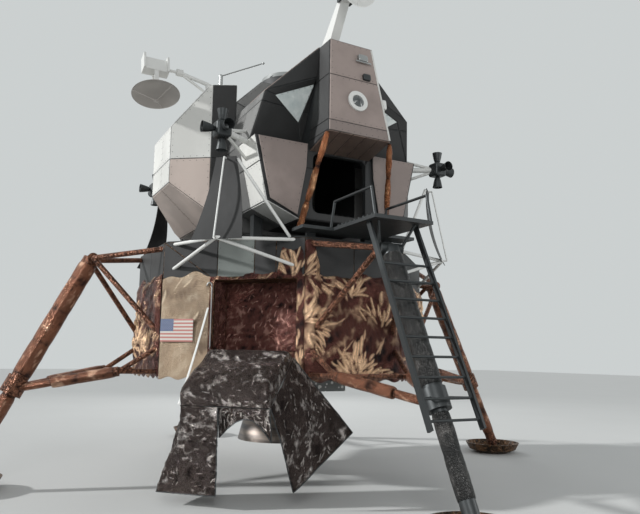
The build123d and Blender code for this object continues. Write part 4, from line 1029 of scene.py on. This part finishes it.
def cloth(
    name, points, seed, depth, flat, held,
    size=0.12, squash=True, hemmed=False, calm=1.0,
):
    """A sheet on the pallet, pushed out by depth times its folds. calm is the share of the folds that
    stays at each point, and squash gives the sheet and its hem meshes of their own."""
    row_step = np.linalg.norm(np.diff(points, axis=0), axis=-1).mean()
    column_step = np.linalg.norm(np.diff(points, axis=1), axis=-1).mean()
    rows, columns = points.shape[:2]
    v, u = np.meshgrid(np.arange(rows) * row_step, np.arange(columns) * column_step, indexing="ij")
    fold = folds(u, v, seed, size, 2.2, 1.3)
    fine = folds(u + 5, v, seed + 4, size * 0.45, 1.6, 0.4)
    glints, shine = leaves(u, v, 90, seed + 7, 1.3, 0.9, (0.03, 0.14), (0.010, 0.026))
    points = pushed(points, calm * depth * (fold - 0.5 + 0.5 * (fine - 0.5) + 0.25 * glints))
    piece = surface(name, points)
    # Kept for the finish: the folds set painted shade in the gaps, and the shine a painted highlight.
    mark(piece, "fold", 0.55 * fold + 0.45 * fine)
    mark(piece, "leaf", shine)
    thicken(piece, CLOTH_THICKNESS, -1)
    give(piece, "pallet", silver_foil)
    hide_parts("pallet_blanket")
    pieces = [piece]
    if hemmed:
        hem = rod(name + "_hem", border(points), HEM_RADIUS, "pallet", dark_metal, 8)
        pieces.append(hem)
    for made in pieces if squash else ():
        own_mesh(made)
    print(name, "flat", flat, "m, held", held)


# %% The cover over the packs
# Down the slope, each corner of the cover's section is (s, rise). Across it, the share of that
# rise falls to 0 at both edges, and EDGE_RUN is the length of sheet between those places.
COVER = [
    (0.053, 0.002), (0.060, 0.100), (0.078, 0.140), (0.300, 0.150), (0.440, 0.212), (0.500, 0.244),
    (0.850, 0.246), (0.900, 0.215), (0.926, 0.140), (0.938, 0.002),
]
EDGE_ACROSS = (-0.543, -0.539, -0.522, -0.475, 0.475, 0.522, 0.539, 0.543)
EDGE_SHARE = (0.0, 0.50, 0.88, 1.0, 1.0, 0.88, 0.50, 0.0)
EDGE_RUN = (0.0, 0.10, 0.08, 0.05, 0.96, 0.05, 0.08, 0.10)


def run_along(corners):
    """Length of a line of corners, up to each corner."""
    return np.concatenate([[0], np.cumsum(np.linalg.norm(np.diff(corners, axis=0), axis=1))])


run = run_along(COVER)
down, top = (np.interp(np.linspace(0, run[-1], 116), run, [corner[k] for corner in COVER]) for k in (0, 1))
edge_run = np.cumsum(EDGE_RUN)
edge_steps = np.linspace(0, edge_run[-1], 124)
to_side = np.interp(edge_steps, edge_run, EDGE_ACROSS)
side_share = np.interp(edge_steps, edge_run, EDGE_SHARE)
s, side_share = np.meshgrid(down, side_share)
rise, to_side = np.meshgrid(top, to_side)
low_pack = 0.042 * np.clip((-0.110 - to_side) / 0.06, 0, 1) * np.clip((rise - 0.150) / 0.090, 0, 1)
slack = 0.006 * np.sin(9 * s + 4 * to_side) * np.sin(7 * to_side + 2)
cover_points = tray_place(s, to_side, np.maximum((rise - low_pack + slack) * side_share, 0.002))

# %% Its folds lie flat at the rim, where the recess leaves it little room
calm = np.where((np.abs(to_side) > 0.49) | (s < 0.12) | (s > 0.89), 0.10, 1.0)
cloth(
    "pallet_cover", cover_points, 3, 0.022, (1.44, 1.36), "draped",
    squash=False, calm=calm,
)


# %% [markdown]
# Below the rim hang three more sheets: a skirt round the left and the front, a short apron with an
# arched edge beside it, and a loose panel on the right. Each is ruled from a line on the tray's rim
# to a line below it, then crumpled. Ruled lines keep the sheets' outlines where the photograph has
# them, which free cloth wouldn't.


# %% Sheets ruled between two lines
def hung(rim, foot, columns, rows):
    """P = (1 - t) foot + t rim, from a foot line and a rim line of corners (out, across, height)."""
    lines = []
    for corners in (foot, rim):
        corners = np.array(corners)
        run = run_along(corners)
        places = np.linspace(0, run[-1], columns)
        lines.append(np.stack([np.interp(places, run, corners[:, k]) for k in range(3)], -1))
    share = np.linspace(0, 1, rows)[:, None, None]
    path = lines[0] * (1 - share) + lines[1] * share
    return by_recess(path[..., 1], path[..., 0], path[..., 2])


def rim_place(s, across):
    """A corner on the tray's rim."""
    return (HINGE_OUT + s * math.cos(TILT), PALLET_MIDDLE + across, HINGE_HEIGHT - s * math.sin(TILT))


def foot_place(out, across, drop):
    """A corner outwards from the hinge and below it."""
    return (HINGE_OUT + out, PALLET_MIDDLE + across, HINGE_HEIGHT - drop)


# %% Apron with an arched edge
APRON_DROPS = (0.33, 0.23, 0.155, 0.115, 0.130, 0.215, 0.36)
APRON_LEFT = -0.080
apron_rim = [rim_place(0.946, APRON_LEFT), rim_place(0.946, PALLET_HALF)]
rim_out, _, rim_height = apron_rim[0]
apron_foot = []
for across, drop in zip(np.linspace(APRON_LEFT, PALLET_HALF, len(APRON_DROPS)), APRON_DROPS):
    apron_foot.append((rim_out - 0.2 * drop, PALLET_MIDDLE + across, rim_height - drop))
apron_points = hung(apron_rim, apron_foot, 70, 34)
cloth("pallet_apron", apron_points, 12, 0.020, (0.63, 0.38), "hung", hemmed=True)

# %% Skirt round the left and the front
SKIRT_SIDE, SKIRT_DROP = -0.815, 1.54
left = -PALLET_HALF - 0.014
skirt_rim = [rim_place(0.05, left), rim_place(0.944, left), rim_place(0.944, -0.075)]
skirt_foot = [
    foot_place(0.21, SKIRT_SIDE, SKIRT_DROP), foot_place(0.730, SKIRT_SIDE, SKIRT_DROP),
    foot_place(0.730, -0.080, SKIRT_DROP),
]
skirt_points = hung(skirt_rim, skirt_foot, 120, 120)
cloth(
    "pallet_skirt", skirt_points, 8, 0.046, (1.45, 1.42), "hung",
    squash=False, hemmed=True,
)

# %% Loose panel on the right
panel_rim = [rim_place(0.945, PALLET_HALF + 0.010), rim_place(0.042, PALLET_HALF + 0.010)]
panel_foot = [foot_place(0.485, 0.735, 1.49), foot_place(0.202, 1.330, 0.85)]
panel_points = hung(panel_rim, panel_foot, 80, 100)
down_share, along_share = np.meshgrid(np.linspace(0, 1, 100), np.linspace(0, 1, 80), indexing="ij")
billow = 0.045 * np.sin(math.pi * along_share) * np.sin(math.pi * down_share)
billow = billow + 0.012 * np.sin(9 * along_share + 3 * down_share)
panel_points = pushed(panel_points, billow)
cloth(
    "pallet_panel", panel_points, 9, 0.040, (1.10, 1.10), "hung",
    size=0.16, hemmed=True,
)

# %% [markdown]
# The legs' tubes are wound with foil too. A sleeve is a ring of points at each step along its tube.
# Its crumples use the cosine and the sine of the angle round the tube, so the two ends of each
# ring meet, and bands of tape draw it in every half metre. A bump in the finish would be cheaper,
# but it leaves the outline of a tube straight, and wound foil is lumpy.


# %% Foil sleeves
SLEEVE_STEP, TIE_STEP = 0.018, 0.46


def sleeve(name, start, end, radius, finish, seed, depth=0.013, columns=30):
    """Foil round the line from start to end: r = radius + depth * fold * tie, where tie falls to 0 at
    each band of tape."""
    start, end = Vector(start), Vector(end)
    axis = (end - start).normalized()
    first = axis.orthogonal().normalized()
    second = axis.cross(first)
    length = (end - start).length
    along = np.linspace(0, length, int(length / SLEEVE_STEP))
    angle, along = np.meshgrid(np.linspace(0, 2 * math.pi, columns, endpoint=False), along)
    girth = 3 * radius
    front = folds(girth * np.cos(angle), along, seed, 0.10, 2.0, 1.2)
    side = folds(girth * np.sin(angle) + 9, along, seed + 3, 0.10, 2.0, 1.7)
    fold = np.maximum(front, side)
    tie = np.abs(np.sin(math.pi * along / TIE_STEP)) ** 0.35
    reach = radius + 0.001 + depth * fold * tie * edge_fade(along, 0, length, 0.04)
    offsets = np.cos(angle)[..., None] * np.array(first) + np.sin(angle)[..., None] * np.array(second)
    points = np.array(start) + along[..., None] * np.array(axis) + reach[..., None] * offsets
    piece = surface(name, points, wrap=True)
    # Kept for the finish: painted shade where the fold is low, lowered towards each band of tape, and a
    # painted highlight on the highest folds.
    mark(piece, "fold", fold * (0.4 + 0.6 * tie))
    mark(piece, "leaf", np.clip(fold - 0.80, 0, 1) * 4 * tie)
    return give(piece, "lander", finish)


# %% Sleeves on the four legs
PAD_OUT, BALL_HEIGHT = 4.254, 0.190
STRUT_HEAD_OUT, STRUT_HEAD_HEIGHT, KNEE_HEIGHT = 2.900, 2.950, 1.160
TRUSS_END, KNEE_HALF = (2.560, 0.520, 1.460), 0.060


def strut_place(height):
    """A point on a leg's main strut, for a leg that reaches out along +X."""
    share = (height - BALL_HEIGHT) / (STRUT_HEAD_HEIGHT - BALL_HEIGHT)
    return Vector((PAD_OUT + share * (STRUT_HEAD_OUT - PAD_OUT), 0, height))


def leg_sleeves(leg, turn):
    """The sleeves of one leg: two on its main strut, and two on each side brace."""
    spin = Matrix.Rotation(math.radians(turn), 4, "Z")
    strut_foil = dark_foil if leg == "front" else wrap_foil
    upper = [spin @ strut_place(height) for height in (1.40, 2.86)]
    lower = [spin @ strut_place(height) for height in (0.36, 1.13)]
    sleeve(f"upper_sleeve_{leg}", *upper, 0.110, strut_foil, 40 + turn // 90)
    sleeve(f"lower_sleeve_{leg}", *lower, 0.086, strut_foil, 50 + turn // 90)
    for side in (-1, 1):
        inner = Vector((TRUSS_END[0], side * TRUSS_END[1], TRUSS_END[2]))
        knee = Vector((strut_place(KNEE_HEIGHT).x, side * KNEE_HALF, KNEE_HEIGHT + KNEE_HALF))
        near, joint, far = (spin @ inner.lerp(knee, share) for share in (0.04, 0.62, 0.88))
        sleeve(f"brace_{leg}_{side + 1}", near, joint, 0.064, wrap_foil, 60 + side, 0.010, 22)
        sleeve(f"rod_{leg}_{side + 1}", joint, far, 0.042, wrap_foil, 70 + side, 0.007, 18)


for leg, turn in LEG_TURNS.items():
    leg_sleeves(leg, turn)
print("sleeves on", len(LEG_TURNS), "legs")


# %% [markdown]
# Small things finish the front: the glass of the tracking light, two struts in foil beside the
# hatch, a strip and three boxes on the nose, struts down to the deck, the flag on the stage, and
# the post and the strap at the recess. The nose leans back, and what stands on it leans too.


# %% Glass of the tracking light
NOSE_FOOT, NOSE_TOP = (2.234, 4.534), (1.985, 5.900)
NOSE_LEAN = math.atan((NOSE_FOOT[0] - NOSE_TOP[0]) / (NOSE_TOP[1] - NOSE_FOOT[1]))
nose_face = np.array((0, -math.cos(NOSE_LEAN), math.sin(NOSE_LEAN)))
nose_up = np.array((0, math.sin(NOSE_LEAN), math.cos(NOSE_LEAN)))
LIGHT_HEIGHT, GLASS_RADIUS, GLASS_DOME, GLASS_OUT = 5.026, 0.084, 0.030, 0.022


def glass_finish():
    """Dark glass with concentric rings, as a lamp's lens has."""
    made = Recipe("lamp_glass", IOR=1.5)
    ring = made.attribute("fold")
    color = made.mix(ring, (0.020, 0.024, 0.026), (0.090, 0.100, 0.100))
    groove = made.bump((ring * 60.0).sine(), 0.001, 0.5)
    return made.done(
        Base_Color=color, Roughness=0.12 + 0.04 * made.noise(30.0), Coat_Weight=0.6, Normal=groove,
    )


# Each ring's radius is a share of the glass's, and it stands out by dome * (1 - share^2).
angle, share = np.meshgrid(np.linspace(0, 2 * math.pi, 40, endpoint=False), np.linspace(1, 0.02, 12))
light_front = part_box("tracking_light")[0][1]
light_centre = np.array((0, light_front + GLASS_OUT, LIGHT_HEIGHT))
around = np.cos(angle)[..., None] * np.array((1, 0, 0)) + np.sin(angle)[..., None] * nose_up
dome = GLASS_DOME * (1 - share**2)
glass_points = light_centre + GLASS_RADIUS * share[..., None] * around + dome[..., None] * nose_face
glass = surface("light_glass", glass_points, wrap=True)
mark(glass, "fold", share)
give(glass, "lander", glass_finish())
print("glass", 2 * GLASS_RADIUS, "m across")

# %% Struts in foil beside the hatch
hatch_struts = {
    "hatch_strut_left": ((-0.470, -2.200, 4.520), (-0.650, -1.790, 3.290), 4),
    "hatch_strut_right": ((0.480, -2.200, 4.520), (0.690, -1.790, 3.290), 5),
}
for name, (top, foot, seed) in hatch_struts.items():
    sleeve(name, top, foot, 0.020, strip_foil, seed, depth=0.032, columns=22)
    print(name, "from", top, "to", foot)


# %% Pale strip on the nose
def ribbon(name, start, end, width, out, finish, depth):
    """A shallow strip from start to end, domed by depth (1 - (2 across)^4). width is its direction
    and size across, and out is where it faces."""
    start, end, width, out = (np.array(v, float) for v in (start, end, width, out))
    length = np.linalg.norm(end - start)
    across, along = np.meshgrid(np.linspace(-0.5, 0.5, 9), np.linspace(0, 1, int(length / 0.02)))
    lift = 0.010 + depth * (1 - (2 * across) ** 4) + 0.002 * np.sin(19 * along)
    points = start + along[..., None] * (end - start) + across[..., None] * width + lift[..., None] * out
    return give(surface(name, points), "lander", finish)


strip_foot, strip_top = (0.450, -NOSE_FOOT[0], 4.540), (0.312, -NOSE_TOP[0], 5.880)
# The strip takes the same pale copy of the grey: painted sunlight.
ribbon("nose_strip", strip_foot, strip_top, (0.030, 0, 0), nose_face, sunlit_pale_panel, 0.006)
print("strip on the nose", round(math.dist(strip_foot, strip_top), 2), "m long")


# %% Boxes on the nose, and struts to the deck
def pebble(name, centre, sizes, finish, power=0.35):
    """A box with soft corners: x = a c(u) c(v), y = b s(u) c(v), z = h s(v), where c and s are the
    cosine and the sine raised to a small power with their signs kept, leaned back as the nose is."""
    longitude = np.linspace(0, 2 * math.pi, 48, endpoint=False)
    u, v = np.meshgrid(longitude, np.linspace(-math.pi / 2, math.pi / 2, 25))
    cos_u, sin_u, cos_v, sin_v = (
        np.sign(wave) * np.abs(wave) ** power for wave in (np.cos(u), np.sin(u), np.cos(v), np.sin(v))
    )
    x, y, z = sizes[0] * cos_u * cos_v, sizes[1] * sin_u * cos_v, sizes[2] * sin_v
    turned_y = y * math.cos(NOSE_LEAN) + z * math.sin(NOSE_LEAN)
    turned_z = z * math.cos(NOSE_LEAN) - y * math.sin(NOSE_LEAN)
    points = np.array(centre) + np.stack([x, turned_y, turned_z], -1)
    return give(surface(name, points, wrap=True), "lander", finish)


pebble("nose_side_box", (0.442, -2.105, 5.080), (0.032, 0.035, 0.070), white_paint)
pebble("nose_dark_box", (0.175, -2.092, 5.420), (0.058, 0.032, 0.046), dark_metal)
pebble("nose_top_box", (0.140, -2.040, 5.700), (0.075, 0.040, 0.050), bare_metal)
top_bar = line((0.020, -2.075, 5.640), (0.260, -2.075, 5.640))
rod("nose_top_bar", top_bar, 0.011, "lander", bare_metal)
for side in (-1, 1):
    for face in (-1, 1):
        top = (side * 1.470, face * 1.680, 4.140)
        foot = (side * 0.850, face * 1.960, 3.150)
        name = f"deck_strut_{side + 1}_{face + 1}"
        rod(name, line(top, foot), 0.020, "lander", white_paint)
        print(name, "from", top, "to", foot)


# %% Flag on the flat field
STRIPES = 13
CORNER_WIDE, CORNER_FROM = 0.40, 0.46


def flag_finish():
    """Thirteen stripes and a blue corner with small dots, from the places across and up the plate."""
    made = Recipe("flag_plate")
    across, up = made.attribute("across"), made.attribute("up")
    stripe = made.step((up * (STRIPES * math.pi)).sine(), -0.15, 0.15)
    faded = made.noise(6.0, 3.0) * 0.12
    pale = made.mix(faded, (0.600, 0.580, 0.530), (0.50, 0.48, 0.44))
    striped = made.mix(stripe, pale, (0.450, 0.190, 0.165))
    in_corner = made.step(CORNER_WIDE - across, -0.004, 0.004)
    corner = in_corner * made.step(up - CORNER_FROM, -0.004, 0.004)
    dots = made.step((across * 94.0).sine() * (up * 58.0).sine(), 0.55, 0.75)
    blue = made.mix(dots, (0.060, 0.090, 0.190), (0.640, 0.650, 0.640))
    return made.done(Base_Color=made.mix(corner, striped, blue), Roughness=0.42 + faded)


FLAG_LEFT, FLAG_FOOT, FLAG_WIDTH, FLAG_HEIGHT = -0.970, 1.845, 0.470, 0.295
across, up = np.meshgrid(np.linspace(0, 1, 60), np.linspace(0, 1, 40))
bowed = 0.030 + 0.003 * np.sin(5 * across + 2 * up)
flag = surface("flag_plate", by_recess(FLAG_LEFT + FLAG_WIDTH * across, bowed, FLAG_FOOT + FLAG_HEIGHT * up))
mark(flag, "across", across)
mark(flag, "up", up)
thicken(flag, 0.002, -1)
give(flag, "lander", flag_finish())
print("flag", FLAG_WIDTH, "by", FLAG_HEIGHT, "m")

# %% Post and hook at the recess
POST_ACROSS, POST_OUT, POST_TOP, POST_RADIUS = -0.262, 0.015, 2.560, 0.009
post = line(by_recess(POST_ACROSS, POST_OUT, 1.760), by_recess(POST_ACROSS, POST_OUT, POST_TOP))
rod("recess_post", post, POST_RADIUS, "lander", bare_metal)
bend = np.linspace(0, math.pi, 20)
hook = by_recess(POST_ACROSS - 0.035 * (1 - np.cos(bend)), POST_OUT, POST_TOP + 0.045 * np.sin(bend))
rod("recess_hook", hook, POST_RADIUS, "lander", bare_metal)
print("post at the recess, up to", POST_TOP, "m")

# %% [markdown]
# A flat strap joins the stage to the pallet's outer corner.

# %% Strap between the stage and the pallet
STRAP_WIDTH, STRAP_SAG = 0.028, 0.035
strap_top = by_recess(-0.300, 0.030, 2.280)
strap_foot = tray_place(0.935, -PALLET_HALF - 0.030, 0.012)
along = np.linspace(0, 1, 60)[:, None]
strap_line = strap_top * (1 - along) + strap_foot * along
strap_line[:, 2] -= STRAP_SAG * (along * (1 - along) * 4)[:, 0]
edge_way = np.array((DIAGONAL, -DIAGONAL, 0.0))
widths = np.linspace(-STRAP_WIDTH / 2, STRAP_WIDTH / 2, 5)
strap_points = strap_line[:, None] + widths[None, :, None] * edge_way
strap = surface("pallet_strap", strap_points, flip=True)
mark(strap, "tone", np.random.default_rng(3).random(strap_points.shape[:2]))
thicken(strap, 0.003, 0)
strap.data.materials.append(white_paint)
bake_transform(strap)
print("strap", round(math.dist(strap_top, strap_foot), 2), "m between its ends")

# %% [markdown]
# The studio is plain: a sun from the left and a little behind, as in the photograph, and three
# wide lamps, two in front and one behind, that leave the shadows soft. A picture of a room could
# light it too, but lamps can be aimed one by one.


# %% Studio
LIT_PLACE = Vector((0, 0, 3))


def lamp(name, kind, place, energy, size):
    """A lamp that points at the middle of the lander. size is a sun's angle, or a panel's width."""
    data = bpy.data.lights.new(name, kind)
    data.energy = energy
    setattr(data, "angle" if kind == "SUN" else "size", size)
    made = shown(name, data)
    made.location = place
    made.rotation_euler = (LIT_PLACE - Vector(place)).to_track_quat("-Z", "Y").to_euler()


lamp("sun", "SUN", (-12, 4, 9), 3.3, math.radians(3))
lamp("front_fill", "AREA", (-7, -15, 8), 760, 5)
lamp("right_fill", "AREA", (12, -10, 5), 420, 5)
lamp("back_fill", "AREA", (6, 14, 9), 500, 6)
print("lamps", len(bpy.data.lights))

# %% [markdown]
# The pale background is only what the camera, the reflections and the glass see. The light that
# falls on the lander comes from a second, weaker world colour, so the background adds none to it.

# %% World and floor
world = bpy.data.worlds.new("studio")
bpy.context.scene.world = world
world.use_nodes = True
shading = world.node_tree
backdrop = shading.nodes["Background"]
backdrop.inputs["Color"].default_value = (0.60, 0.63, 0.63, 1)
backdrop.inputs["Strength"].default_value = 1.0
lighting = shading.nodes.new("ShaderNodeBackground")
lighting.inputs["Color"].default_value = (0.93, 0.97, 1.0, 1)
lighting.inputs["Strength"].default_value = 0.40
rays = shading.nodes.new("ShaderNodeLightPath")
choose = shading.nodes.new("ShaderNodeMixShader")
sees_backdrop = rays.outputs["Is Camera Ray"]
for ray in ("Is Glossy Ray", "Is Transmission Ray"):
    either = shading.nodes.new("ShaderNodeMath")
    either.operation = "MAXIMUM"
    shading.links.new(sees_backdrop, either.inputs[0])
    shading.links.new(rays.outputs[ray], either.inputs[1])
    sees_backdrop = either.outputs[0]
shading.links.new(sees_backdrop, choose.inputs[0])
shading.links.new(lighting.outputs[0], choose.inputs[1])
shading.links.new(backdrop.outputs[0], choose.inputs[2])
shading.links.new(choose.outputs[0], shading.nodes["World Output"].inputs[0])
bpy.context.scene.view_settings.view_transform = "Standard"

FLOOR_HALF, FLOOR_POINTS = 60, 9
floor_x, floor_y = np.meshgrid(*[np.linspace(-FLOOR_HALF, FLOOR_HALF, FLOOR_POINTS)] * 2)
floor_points = np.stack([floor_x, floor_y, np.full(floor_x.shape, -0.001)], -1)
floor = surface("floor", floor_points)
floor_recipe = Recipe("floor_paint")
floor_color = floor_recipe.mix(floor_recipe.noise(0.4), (0.50, 0.51, 0.50), (0.54, 0.55, 0.54))
floor.data.materials.append(floor_recipe.done(Base_Color=floor_color, Roughness=0.8))
print("floor", 2 * FLOOR_HALF, "m wide")
